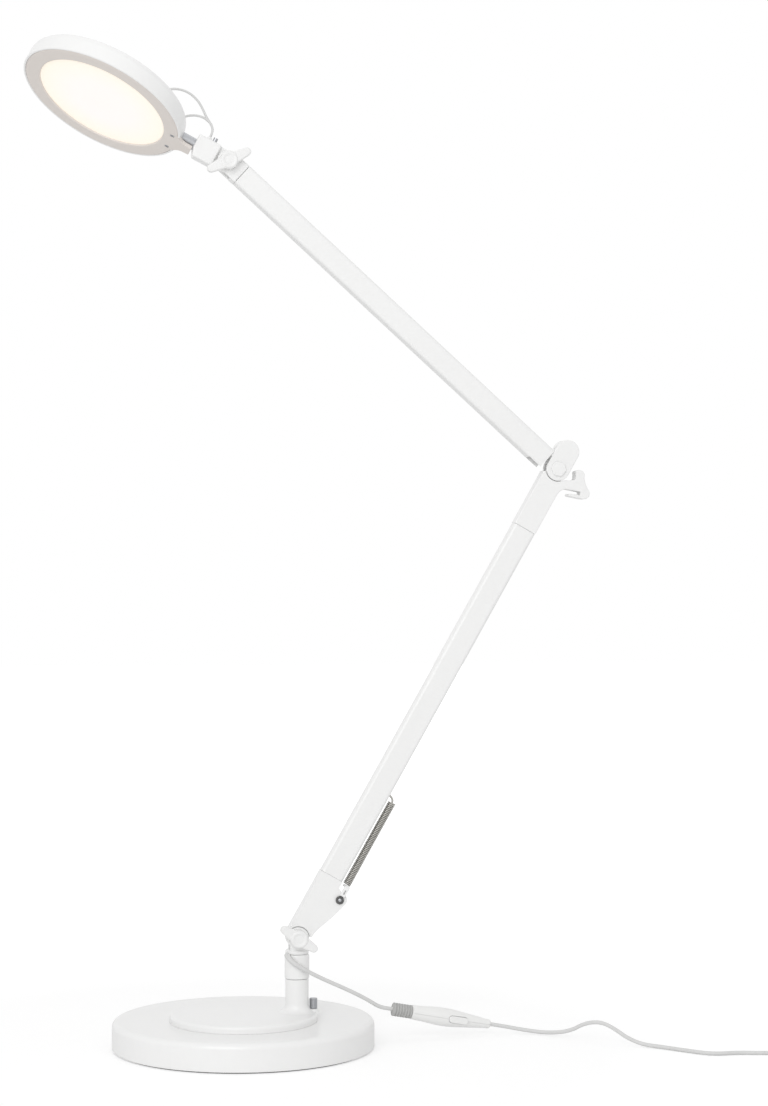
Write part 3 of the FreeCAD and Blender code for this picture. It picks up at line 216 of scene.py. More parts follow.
def add_node(tree: bpy.types.NodeTree, kind: str, inputs: dict[str | int, object] | None = None,
             **settings: object) -> bpy.types.Node:
    """Adds a shader node.

    Args:
        tree: Where it goes.
        kind: Its type, without the prefix that all shader nodes share.
        inputs: What its inputs are linked or set to.
        settings: Its properties, set first.

    Returns:
        The node.
    """
    node = tree.nodes.new("ShaderNode" + kind)
    for name, value in settings.items():
        setattr(node, name, value)
    fill(tree, node, inputs or {})
    return node


def noise(tree: bpy.types.NodeTree, scale: float, detail: float,
          stretch: tuple[float, float, float] = (1, 1, 1)) -> Socket:
    """Adds a noise on Object coordinates.

    Args:
        tree: Where it goes.
        scale: Repeats per metre.
        detail: Octaves.
        stretch: Scale along each axis.

    Returns:
        The noise's value output.
    """
    where = add_node(tree, "TexCoord")
    mapping = add_node(tree, "Mapping", {"Vector": where.outputs["Object"], "Scale": stretch})
    inputs = {"Vector": mapping.outputs["Vector"], "Scale": scale, "Detail": detail}
    return add_node(tree, "TexNoise", inputs).outputs["Fac"]


def spread(tree: bpy.types.NodeTree, value: Socket, low: float, high: float, to_low: float = 0.0,
           to_high: float = 1.0) -> Socket:
    """Adds a Map Range from one span to another and returns its output."""
    spans = {"From Min": low, "From Max": high, "To Min": to_low, "To Max": to_high}
    return add_node(tree, "MapRange", {"Value": value} | spans).outputs["Result"]


def math_node(tree: bpy.types.NodeTree, operation: str, first: Socket | float, second: Socket | float) -> Socket:
    """Adds a Math node on two sockets or numbers and returns its output."""
    clamp = operation != "SUBTRACT"
    return add_node(tree, "Math", {0: first, 1: second}, operation=operation, use_clamp=clamp).outputs["Value"]


def node_of(tree: bpy.types.NodeTree, kind: str) -> bpy.types.Node:
    """Returns the tree's only node of that type."""
    return next(n for n in tree.nodes if n.type == kind)


def surface_grain_group() -> bpy.types.NodeTree:
    """Builds the fine height of a surface: a slow ripple under a fine grain.

    Returns:
        A group with Grain and Ripple inputs and a Height output.
    """
    group = new_group("surface_grain", {"Grain": 0.5, "Ripple": 0.5}, {"Height": "NodeSocketFloat"})
    given, result = node_of(group, "GROUP_INPUT"), node_of(group, "GROUP_OUTPUT")
    fine = math_node(group, "MULTIPLY", noise(group, 1500.0, 3.0), given.outputs["Grain"])
    slow = math_node(group, "MULTIPLY", noise(group, 260.0, 1.0), given.outputs["Ripple"])
    group.links.new(math_node(group, "ADD", fine, slow), result.inputs["Height"])
    return group


def handling_marks(group: bpy.types.NodeTree) -> Socket:
    """Draws the smudges that handling leaves."""
    broad = spread(group, noise(group, 18.0, 4.0), 0.42, 0.7)
    fine = spread(group, noise(group, 240.0, 5.0, (1, 1, 0.3)), 0.5, 0.75)
    return math_node(group, "ADD", broad, fine)


def lying_dust(group: bpy.types.NodeTree) -> Socket:
    """Draws the light dust that lies on what faces up."""
    geometry = add_node(group, "NewGeometry")
    split = add_node(group, "SeparateXYZ", {"Vector": geometry.outputs["Normal"]})
    up = spread(group, split.outputs["Z"], 0.55, 1.0)
    return math_node(group, "MULTIPLY", up, spread(group, noise(group, 420.0, 6.0), 0.45, 0.7, 0.2))


def edge_wear(group: bpy.types.NodeTree) -> Socket:
    """Draws the sharp edges, where paint is thin and metal is polished."""
    geometry = add_node(group, "NewGeometry")
    sharp = spread(group, geometry.outputs["Pointiness"], 0.52, 0.62)
    return math_node(group, "MULTIPLY", sharp, spread(group, noise(group, 700.0, 4.0), 0.45, 0.6))


def mask_group(draw: Callable[[bpy.types.NodeTree], Socket]) -> bpy.types.NodeTree:
    """Builds a group for colour and roughness: a drawn mask times its amount.

    Args:
        draw: Adds the mask's nodes to the group, and names it.

    Returns:
        A group with an Amount input and a Mask output.
    """
    group = new_group(draw.__name__, {"Amount": 0.3}, {"Mask": "NodeSocketFloat"})
    given, result = node_of(group, "GROUP_INPUT"), node_of(group, "GROUP_OUTPUT")
    mask = math_node(group, "MULTIPLY", draw(group), given.outputs["Amount"])
    group.links.new(mask, result.inputs["Mask"])
    return group


class Effects:
    """The shared node groups, each built once."""

    def __init__(self) -> None:
        """Builds the groups."""
        self.grain = surface_grain_group()
        self.handling, self.dust, self.edges = (mask_group(d) for d in (handling_marks, lying_dust, edge_wear))


@dataclass(frozen=True)
class Finish:
    """One finish of the lamp.

    Args:
        name: Its name in a maker's words.
        colour: Its colour, linear.
        shade: The colour that marks and dust turn it towards.
        roughness: Its usual roughness.
        metallic: 1 on bare metal.
        grain: Strength of the fine grain.
        ripple: Strength of the slow ripple.
        depth: Height of the relief in metres.
        marks: Amount of handling marks.
        dust: Amount of lying dust.
        wear: Amount of edge wear.
        coat: Weight of a clear coat.
        glow: Emission strength.
        rim: Distances from the head's centre in metres over which its light turns to its shade, if any.
    """

    name: str
    colour: tuple[float, float, float]
    shade: tuple[float, float, float]
    roughness: float = 0.4
    metallic: float = 0.0
    grain: float = 0.3
    ripple: float = 0.3
    depth: float = 0.00004
    marks: float = 0.25
    dust: float = 0.15
    wear: float = 0.2
    coat: float = 0.0
    glow: float = 0.0
    rim: tuple[float, float] | None = None

    def build(self, effects: Effects) -> bpy.types.Material:
        """Builds the material from the shared groups.

        Args:
            effects: The shared node groups.

        Returns:
            The material.
        """
        material = bpy.data.materials.new(self.name)
        material.use_nodes = True
        tree = material.node_tree
        marks, dust, wear = (
            add_node(tree, "Group", {"Amount": amount}, node_tree=group).outputs["Mask"] for group, amount in
            ((effects.handling, self.marks), (effects.dust, self.dust), (effects.edges, self.wear)))
        tint = math_node(tree, "ADD", marks, dust)
        if self.rim:
            place = add_node(tree, "TexCoord").outputs["Object"]
            away = add_node(tree, "VectorMath", {0: place, 1: HEAD.matrix().translation}, operation="DISTANCE")
            rim = spread(tree, away.outputs["Value"], *self.rim, to_high=RIM_SHARE)
            tint = math_node(tree, "ADD", tint, rim)
        mix = {"A": (*self.colour, 1), "B": (*self.shade, 1), "Factor": math_node(tree, "ADD", tint, wear)}
        tone = add_node(tree, "Mix", mix, data_type="RGBA").outputs["Result"]
        grain = add_node(tree, "Group", {"Grain": self.grain, "Ripple": self.ripple}, node_tree=effects.grain)
        bump = add_node(tree, "Bump", {"Strength": BUMP_STRENGTH, "Distance": self.depth,
                                       "Height": grain.outputs["Height"]})
        rough = math_node(tree, "ADD", math_node(tree, "MULTIPLY", tint, TINT_ROUGHNESS), self.roughness)
        inputs = {"Base Color": tone, "Roughness": rough, "Normal": bump.outputs["Normal"],
                  "Metallic": self.metallic, "Coat Weight": self.coat}
        if self.glow:
            inputs |= {"Emission Strength": self.glow, "Emission Color": tone}
        fill(tree, tree.nodes["Principled BSDF"], inputs)
        return material


WHITE, PALE = (0.88, 0.88, 0.875), (0.74, 0.74, 0.735)
FINISHES = {
    "white_enamel": Finish("white_enamel_paint", WHITE, PALE, 0.36, coat=0.2, marks=0.06, dust=0.05, wear=0.05),
    "knob_white": Finish("moulded_white_knob", (0.86, 0.86, 0.855), PALE, 0.42, marks=0.1, dust=0.05, wear=0.06),
    "switch_white": Finish("moulded_white_switch", (0.87, 0.87, 0.86), PALE, 0.34, marks=0.08, dust=0.05),
    "bezel_grey": Finish("warm_grey_bezel", (0.745, 0.695, 0.655), (0.64, 0.6, 0.56), 0.38, marks=0.08,
                         dust=0.03),
    "opal_diffuser": Finish("lit_opal_diffuser", (0.99, 0.915, 0.895), (1.0, 0.925, 0.76), 0.5, grain=0.5,
                            marks=0.08, dust=0.0, wear=0.0, glow=0.21, rim=(0.028, 0.06)),
    "cord_white": Finish("round_white_cord", (0.7, 0.7, 0.695), (0.58, 0.58, 0.57), 0.48, grain=0.5, marks=0.2),
    "grip_grey": Finish("ribbed_grey_grip", (0.5, 0.5, 0.49), (0.4, 0.4, 0.4), 0.6, grain=0.8),
    "dark_steel": Finish("dark_plated_steel", (0.12, 0.12, 0.12), (0.25, 0.25, 0.25), 0.38, 0.85, wear=0.5),
    "spring_steel": Finish("drawn_spring_wire", (0.47, 0.46, 0.43), (0.56, 0.55, 0.53), 0.32, 0.9, wear=0.2),
    "zinc_steel": Finish("zinc_plated_steel", (0.5, 0.51, 0.53), (0.35, 0.35, 0.36), 0.32, 1.0, wear=0.3),
    "plated_brass": Finish("nickel_plated_pins", (0.7, 0.69, 0.65), (0.5, 0.48, 0.42), 0.22, 1.0),
    "cast_weight": Finish("rough_cast_iron", (0.1, 0.1, 0.105), (0.17, 0.13, 0.1), 0.7, 0.5, 0.9, 0.9, 0.0003),
    "rubber_pad": Finish("matt_black_rubber", (0.02, 0.02, 0.02), (0.06, 0.06, 0.06), 0.75, grain=0.9),
    "bearing_plastic": Finish("natural_acetal", (0.72, 0.71, 0.68), PALE, 0.45),
    "reflector_white": Finish("white_reflector_film", (0.9, 0.9, 0.9), PALE, 0.3),
    "board_white": Finish("white_solder_mask", (0.8, 0.83, 0.8), PALE, 0.35),
    "chip_yellow": Finish("phosphor_chip", (0.9, 0.7, 0.2), (0.7, 0.5, 0.1), 0.4),
    "sink_aluminium": Finish("bare_aluminium", (0.6, 0.61, 0.63), (0.45, 0.45, 0.46), 0.4, 1.0),
}


# ---------------------------------------------------------------- modelling
def deselect() -> None:
    """Leaves nothing selected or active."""
    bpy.ops.object.select_all(action="DESELECT")
    bpy.context.view_layer.objects.active = None


def only(*pieces: bpy.types.Object) -> None:
    """Selects these pieces alone and makes the first one active."""
    deselect()
    for piece in pieces:
        piece.select_set(True)
    bpy.context.view_layer.objects.active = pieces[0]


def unselect_all(kind: str) -> None:
    """Sets selecting to faces, edges or points and leaves none of the active mesh's selected."""
    bpy.ops.object.mode_set(mode="EDIT")
    bpy.ops.mesh.select_mode(type=kind)
    bpy.ops.mesh.select_all(action="DESELECT")
    bpy.ops.object.mode_set(mode="OBJECT")


def arc_through(start: Point, middle: Point, end: Point, steps: int) -> list[Point]:
    """Works out an arc through three points.

    Args:
        start: Its first point, left out of the result.
        middle: A point on it.
        end: Its last point.
        steps: How many straight steps it gets.

    Returns:
        The points after start.
    """
    (ax, ay), (bx, by), (cx, cy) = start, middle, end
    d = 2 * (ax * (by - cy) + bx * (cy - ay) + cx * (ay - by))
    a2, b2, c2 = ax * ax + ay * ay, bx * bx + by * by, cx * cx + cy * cy
    ux = (a2 * (by - cy) + b2 * (cy - ay) + c2 * (ay - by)) / d
    uy = (a2 * (cx - bx) + b2 * (ax - cx) + c2 * (bx - ax)) / d
    r = math.hypot(ax - ux, ay - uy)
    a0, a1, am = (math.atan2(y - uy, x - ux) for x, y in (start, end, middle))
    sweep = (a1 - a0) % math.tau
    if (am - a0) % math.tau > sweep:
        sweep -= math.tau
    return [(ux + r * math.cos(a0 + sweep * k / steps), uy + r * math.sin(a0 + sweep * k / steps))
            for k in range(1, steps + 1)]


def run_of(items: Outline, steps: int = 10) -> list[Point]:
    """Turns an outline with arcs, each a pair of middle and end, into plain points."""
    points = [items[0]]
    for item in items[1:]:
        if isinstance(item[0], tuple):
            points += arc_through(points[-1], item[0], item[1], steps)
        else:
            points.append(item)
    return points


def quarter(cx: float, cy: float, r: float, first: float, last: float, steps: int = 8) -> list[Point]:
    """Returns points on an arc about a centre, between two angles in degrees."""
    angles = [math.radians(first + (last - first) * k / steps) for k in range(steps + 1)]
    return [(cx + r * math.cos(a), cy + r * math.sin(a)) for a in angles]


def start_line(name: str, first: Vector) -> bpy.types.Object:
    """Starts a piece as one vertex in edit mode, from a tiny primitive merged to its centre."""
    deselect()
    bpy.ops.mesh.primitive_plane_add(size=MM, location=(0, 0, 0))
    obj = bpy.context.object
    obj.name = name
    obj.data.name = name
    bpy.ops.object.mode_set(mode="EDIT")
    bpy.ops.mesh.select_mode(type="VERT")
    bpy.ops.mesh.select_all(action="SELECT")
    bpy.ops.mesh.merge(type="CENTER")
    bpy.ops.transform.translate(value=first)
    return obj


def draw_line(points: list[Vector]) -> None:
    """Extrudes the selected vertex through the points, in edit mode."""
    for before, after in zip(points, points[1:]):
        bpy.ops.mesh.extrude_region_move(TRANSFORM_OT_translate={"value": after - before})


def close_mesh(merge: float = 1e-6) -> None:
    """Merges doubles, turns the faces outwards and leaves edit mode."""
    bpy.ops.mesh.select_all(action="SELECT")
    bpy.ops.mesh.remove_doubles(threshold=merge)
    bpy.ops.mesh.normals_make_consistent(inside=False)
    bpy.ops.object.mode_set(mode="OBJECT")


def lathe(name: str, profile: list[Point], axis: str = "Z", steps: int = 96) -> bpy.types.Object:
    """Spins a closed or axis-to-axis profile.

    Args:
        name: The piece's name.
        profile: (radius, height) points in mm, or (along, radius) points for axis X or Y.
        axis: X, Y or Z.
        steps: Steps round the axis.

    Returns:
        The piece.
    """
    points = [Vector((b, a, 0) if axis == "Y" else (a, 0, b)) * MM for a, b in profile]
    obj = start_line(name, points[0])
    draw_line(points)
    bpy.ops.mesh.select_all(action="SELECT")
    turn = {"X": (1, 0, 0), "Y": (0, 1, 0), "Z": (0, 0, 1)}[axis]
    bpy.ops.mesh.spin(steps=steps, angle=math.tau, center=(0, 0, 0), axis=turn)
    close_mesh()
    return obj


def plate(name: str, items: Outline, y0: float, y1: float, edge: float, arc_steps: int = 10) -> bpy.types.Object:
    """Extrudes an outline of (x, z) points across Y and rounds its edges.

    Args:
        name: The piece's name.
        items: The outline in mm, with arcs as pairs of middle and end.
        y0: Front face.
        y1: Back face.
        edge: Radius of the rounded edges, 0 for none.
        arc_steps: Steps in each arc.

    Returns:
        The piece.
    """
    points = [Vector((x, y0, z)) * MM for x, z in run_of(items, arc_steps)]
    obj = start_line(name, points[0])
    draw_line(points)
    bpy.ops.mesh.select_all(action="SELECT")
    bpy.ops.mesh.edge_face_add()
    bpy.ops.mesh.extrude_region_move(TRANSFORM_OT_translate={"value": Vector((0, y1 - y0, 0)) * MM})
    close_mesh()
    if edge:
        soften(obj, edge, 50)
    return obj


def box_of(name: str, x: Point, y: Point, z: Point, edge: float = 0.0) -> bpy.types.Object:
    """Builds a box from its spans along X, Y and Z."""
    return plate(name, [(x[0], z[0]), (x[1], z[0]), (x[1], z[1]), (x[0], z[1])], *y, edge)


def rod(name: str, low: float, high: float, radius: float, axis: str = "Z", steps: int = 40) -> bpy.types.Object:
    """Builds a plain round bar between two places on an axis."""
    profile = [(low, 0.0), (low, radius), (high, radius), (high, 0.0)]
    return lathe(name, [(r, h) for h, r in profile] if axis == "Z" else profile, axis, steps)


def cheeks(outline: Outline, inner: float, outer: float, edge: float, steps: int = 10) -> list[bpy.types.Object]:
    """Builds the two cheeks of a clevis, one on each side of its middle."""
    return [plate("cheek", outline, y0, y1, edge, steps) for y0, y1 in ((-outer, -inner), (inner, outer))]


def soften(obj: bpy.types.Object, radius: float, degrees: float = 40, segments: int = 3) -> None:
    """Rounds the edges sharper than an angle with a bevel, applied."""
    bevel = obj.modifiers.new("soft_edges", "BEVEL")
    bevel.width = radius * MM
    bevel.segments = segments
    bevel.limit_method = "ANGLE"
    bevel.angle_limit = math.radians(degrees)
    bevel.harden_normals = False
    apply_modifiers(obj)


def apply_modifiers(obj: bpy.types.Object) -> None:
    """Applies all of a piece's modifiers in order."""
    only(obj)
    for modifier in list(obj.modifiers):
        bpy.ops.object.modifier_apply(modifier=modifier.name)


def combine(obj: bpy.types.Object, other: bpy.types.Object, operation: str) -> None:
    """Joins, cuts or crosses a piece with another one by a boolean, then deletes the other."""
    boolean = obj.modifiers.new("combined", "BOOLEAN")
    boolean.operation = operation
    boolean.solver = "EXACT"
    boolean.object = other
    apply_modifiers(obj)
    bpy.data.objects.remove(other)


def merged(name: str, pieces: list[bpy.types.Object]) -> bpy.types.Object:
    """Joins several meshes into one object without cutting them."""
    only(*pieces)
    bpy.ops.object.join()
    pieces[0].name = name
    pieces[0].data.name = name
    return pieces[0]


def moved(obj: bpy.types.Object, x: float = 0.0, y: float = 0.0, z: float = 0.0) -> bpy.types.Object:
    """Moves a piece's mesh by millimetres."""
    obj.data.transform(Matrix.Translation(Vector((x, y, z)) * MM))
    return obj


class Workshop:
    """Places finished pieces and gives them their finish."""

    def __init__(self) -> None:
        """Loads the frame and builds the finishes."""
        self.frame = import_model()
        self.cad_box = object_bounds()
        effects = Effects()
        self.finishes = {slot: finish.build(effects) for slot, finish in FINISHES.items()}
        slots = {part["node"]: part["material_slot"] for part in self.frame["record"]["subparts"]}
        for node, obj in self.frame["nodes"].items():
            obj.data.materials.clear()
            obj.data.materials.append(self.finishes[slots[node]])

    def place(self, obj: bpy.types.Object, station: Station, body: Body, slot: str,
              nodes: tuple[str, ...] = (), smooth: float = 35.0) -> bpy.types.Object:
        """Puts a piece in the lamp's frame on its body, in place of CAD nodes.

        Args:
            obj: The piece, modelled in the station's frame.
            station: Where it goes.
            body: The body that it moves with.
            slot: The finish's slot.
            nodes: The CAD nodes that it stands for.
            smooth: Faces that meet under this angle are shaded as one.

        Returns:
            The piece.
        """
        self.dress(obj, station, slot, smooth)
        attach(obj, body.value)
        if nodes:
            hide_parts(*nodes)
        return obj

    def dress(self, obj: bpy.types.Object, station: Station, slot: str, smooth: float) -> None:
        """Moves a piece from its station to the lamp's frame, shades it and gives it its finish.

        Args:
            obj: The piece, modelled in the station's frame.
            station: Where it goes.
            slot: The finish's slot.
            smooth: Faces that meet under this angle are shaded as one.
        """
        obj.data.transform(station.matrix())
        only(obj)
        bpy.ops.object.shade_smooth_by_angle(angle=math.radians(smooth))
        flats = obj.modifiers.new("flat_faces_stay_flat", "WEIGHTED_NORMAL")
        flats.keep_sharp = True
        apply_modifiers(obj)
        obj.data.materials.clear()
        obj.data.materials.append(self.finishes[slot])
        LOG.info("%s: %d faces", obj.name, len(obj.data.polygons))


# ---------------------------------------------------------------- base and post
@dataclass
class Base:
    """Round weighted base with its raised disc, post and knurled knob."""

    radius: float = 110.0
    top: float = 24.0
    bottom: float = 1.0
    rim_round: float = 5.0
    rim_flat: float = 6.0
    dish: float = 1.6
    wall: float = 2.2
    lip: float = 0.7
    disc_radius: float = 62.0
    disc_thick: float = 6.0
    disc_edge: float = 2.6
    post_radius: float = 9.8
    post_top: float = 56.4
    flare: float = 7.0
    knob_out: float = 14.0
    knob_radius: float = 3.3
    knob_bottom: float = 30.8
    knob_length: float = 8.6
    knurls: int = 24

    def build(self, shop: Workshop) -> None:
        """Builds the cover, the foot casting and the knob."""
        self.cover(shop)
        self.foot(shop)
        self.knob(shop)

    def cover(self, shop: Workshop) -> None:
        """Builds the pressed cover with its rounded rim and slightly hollow top."""
        r, q, w, lip = self.radius, self.rim_round, self.wall, self.lip
        hollow = self.top - self.dish
        profile = [(0.0, hollow - w), (r - w - 2.0, hollow - w), (r - w, hollow - w - 2.0), (r - w, 5.3),
                   (r - 1.7, 4.8), (r - 1.7, self.bottom), (r - lip, self.bottom)]
        profile += quarter(r - lip, self.bottom + lip, lip, -90, 0, 3)[1:]
        profile += quarter(r - q, self.top - q, q, 0, 90, 12)
        inner = r - q - self.rim_flat
        profile += [(inner, self.top), (inner - 6, self.top - 0.35), (self.disc_radius + 8, hollow + 0.12),
                    (self.disc_radius + 1, hollow), (0.0, hollow)]
        cover = lathe("base_cover_shell", profile, steps=160)
        shop.place(cover, FLOOR, Body.STAND, "white_enamel", ("base_cover",))

    def foot(self, shop: Workshop) -> None:
        """Builds the raised disc, the flare and the post as one casting, with the knob's stub."""
        low = self.top - self.dish
        disc_top = low + self.disc_thick
        e = self.disc_edge
        profile = [(0.0, low), (self.disc_radius - 0.3, low), (self.disc_radius, low + 0.3)]
        profile += quarter(self.disc_radius - e, disc_top - e, e, 0, 90, 8) + [(0.0, disc_top)]
        disc = lathe("post_casting", profile, steps=160)
        flare = self.post_radius + self.flare
        column = [(0.0, disc_top - 1.5), (flare - 0.8, disc_top - 1.5)]
        column += quarter(flare, disc_top + self.flare, self.flare, 262, 180, 12)
        column += [(self.post_radius, self.post_top - 0.3), (self.post_radius - 0.3, self.post_top),
                   (0.0, self.post_top)]
        post = moved(lathe("post", column, steps=72), x=POST_X)
        combine(disc, post, "UNION")
        stub_top, r = self.knob_bottom - 0.3, self.knob_radius
        stub = lathe("stub", [(0.0, disc_top - 1.5), (r + 2.2, disc_top - 1.5), (r + 1.1, disc_top + 0.5),
                              (r + 1.0, stub_top - 0.4), (r + 0.6, stub_top), (0.0, stub_top)], steps=40)
        combine(disc, moved(stub, x=POST_X + self.knob_out), "UNION")
        room = rod("knob_room", stub_top, stub_top + 9, r + 0.35)
        combine(disc, moved(room, x=POST_X + self.knob_out), "DIFFERENCE")
        shop.place(disc, FLOOR, Body.STAND, "white_enamel", ("post_foot",), 40)

    def knob(self, shop: Workshop) -> None:
        """Builds the upright knurled knob: a round bar whose side is cut into fine ridges."""
        deselect()
        bpy.ops.mesh.primitive_cylinder_add(vertices=self.knurls * 2, radius=self.knob_radius * MM,
                                            depth=self.knob_length * MM, location=(0, 0, 0))
        obj = bpy.context.object
        obj.name = "knurled_knob_body"
        unselect_all("FACE")
        for face in obj.data.polygons:
            angle = math.atan2(face.center.y, face.center.x)
            index = int(round(angle / math.tau * self.knurls * 2 - 0.5))
            face.select = abs(face.normal.z) < 0.5 and index % 2 == 0
        bpy.ops.object.mode_set(mode="EDIT")
        bpy.ops.mesh.inset(thickness=0.08 * MM, depth=-0.3 * MM, use_individual=True)
        bpy.ops.object.mode_set(mode="OBJECT")
        soften(obj, 0.3, 80, 2)
        moved(obj, z=self.knob_bottom + self.knob_length / 2)
        shop.place(obj, Station(POST_X + self.knob_out), Body.DIAL, "zinc_steel", ("knurled_knob",), 25)


# ---------------------------------------------------------------- joints
@dataclass
class WingKnob:
    """A moulded two-winged clamping knob on the front of a pivot."""

    name: str
    node: str
    body: Body
    half_span: float
    degrees: float
    thick: float = 9.0
    face: float = -8.1
    boss: float = 7.4
    tip: float = 3.4
    root: float = 5.8

    def build(self, shop: Workshop, at: Station) -> None:
        """Builds the boss and the two wings and joins them."""
        near, far = self.face, self.face - self.thick
        boss = lathe(self.name, [(near, 0.0), (near, self.boss), (far + 1.8, self.boss)]
                     + [(far + 1.8 * (1 - math.sin(a)), self.boss - 1.8 + 1.8 * math.cos(a))
                        for a in (0.4, 0.8, 1.2, math.pi / 2)]
                     + [(far + 0.4, 4.2), (far + 0.9, 3.6), (far + 0.9, 0.0)], "Y", 56)
        for side in (-1, 1):
            end = self.half_span - self.tip
            wing = plate("wing", [(side * 2.0, -self.root), (side * 6.5, -self.root + 0.9),
                                  (side * end, -self.tip),
                                  ((side * self.half_span, 0.0), (side * end, self.tip)),
                                  (side * 6.5, self.root - 0.9), (side * 2.0, self.root)],
                         far + 1.2, near - 1.2, 1.3, 12)
            combine(boss, wing, "UNION")
        shop.place(boss, Station(at.x, at.z, self.degrees), self.body, "knob_white", (self.node,), 38)


@dataclass
class Swivel:
    """The fixed collar and the turning clevis that carries the lower arm."""

    collar_radius: float = 10.4
    collar_low: float = 56.8
    collar_top: float = 77.2
    stem_radius: float = 9.8
    stem_length: float = 3.4
    eye: float = 9.2
    neck: float = 13.0
    cheek_in: float = 4.2
    cheek_out: float = 7.8

    def build(self, shop: Workshop) -> None:
        """Builds the collar, and the stem with its two cheeks."""
        r = self.collar_radius
        collar = [(0.0, 42.7), (7.4, 42.7), (7.4, self.collar_low), (r - 0.5, self.collar_low)]
        collar += [(r, self.collar_low + 0.5)] + quarter(r - 1.4, self.collar_top - 1.4, 1.4, 0, 90, 6)
        shop.place(lathe("post_collar_body", collar + [(0.0, self.collar_top)], steps=72), POST, Body.STAND,
                   "white_enamel", ("post_collar",))
        low = self.collar_top + 0.3
        stem = lathe("swivel_clevis", [(0.0, low), (self.stem_radius - 0.4, low), (self.stem_radius, low + 0.4),
                                       (self.stem_radius, low + self.stem_length - 0.8),
                                       (self.stem_radius - 0.8, low + self.stem_length),
                                       (0.0, low + self.stem_length)], steps=64)
        n, foot = self.neck / 2, low + self.stem_length - 1.0
        a = math.degrees(math.asin(n / self.eye))
        eye = quarter(0.0, LOWER.z, self.eye, -90 + a, 270 - a, 40)
        for cheek in cheeks([(-n, foot), (n, foot)] + eye, self.cheek_in, self.cheek_out, 0.5):
            combine(stem, cheek, "UNION")
        shop.place(stem, POST, Body.SWIVEL, "white_enamel", ("swivel_head",), 38)


# ---------------------------------------------------------------- arms
@dataclass
class ArmTube:
    """A rectangular arm tube with rounded corners."""

    name: str
    node: str
    body: Body
    first: float
    last: float
    width: float
    depth: float
    corner: float = 3.0
    wall: float = 1.5

    def build(self, shop: Workshop, station: Station, cutter: bpy.types.Object | None = None) -> None:
        """Builds the tube, open at its ends, less an optional cutter.

        Args:
            shop: Where finished pieces go.
            station: The arm's station.
            cutter: What is cut out of it, in the arm's station.
        """
        tube = self.bar(self.name, 0.0, 0.0)
        if cutter:
            combine(tube, cutter, "DIFFERENCE")
        combine(tube, self.bar("bore", self.wall, 2.0), "DIFFERENCE")
        shop.place(tube, station, self.body, "white_enamel", (self.node,), 32)

    def bar(self, name: str, inset: float, longer: float) -> bpy.types.Object:
        """Builds a solid bar, smaller by inset all round and longer at both ends."""
        deselect()
        middle = (self.first + self.last) / 2
        bpy.ops.mesh.primitive_cube_add(size=1, location=(0, 0, 0))
        obj = bpy.context.object
        obj.name = name
        size = Vector((self.last - self.first + 2 * longer, self.depth - 2 * inset, self.width - 2 * inset))
        at = Matrix.Translation(Vector((middle, 0, 0)) * MM)
        obj.data.transform(at @ Matrix.Diagonal((*(size * MM), 1)))
        unselect_all("EDGE")
        for edge in obj.data.edges:
            a, b = (obj.data.vertices[v].co for v in edge.vertices)
            edge.select = abs(a.x - b.x) > 0.5 * size.x * MM
        bpy.ops.object.mode_set(mode="EDIT")
        radius = max(self.corner - inset, 0.4)
        bpy.ops.mesh.bevel(offset=radius * MM, segments=6, affect="EDGES")
        close_mesh()
        return obj


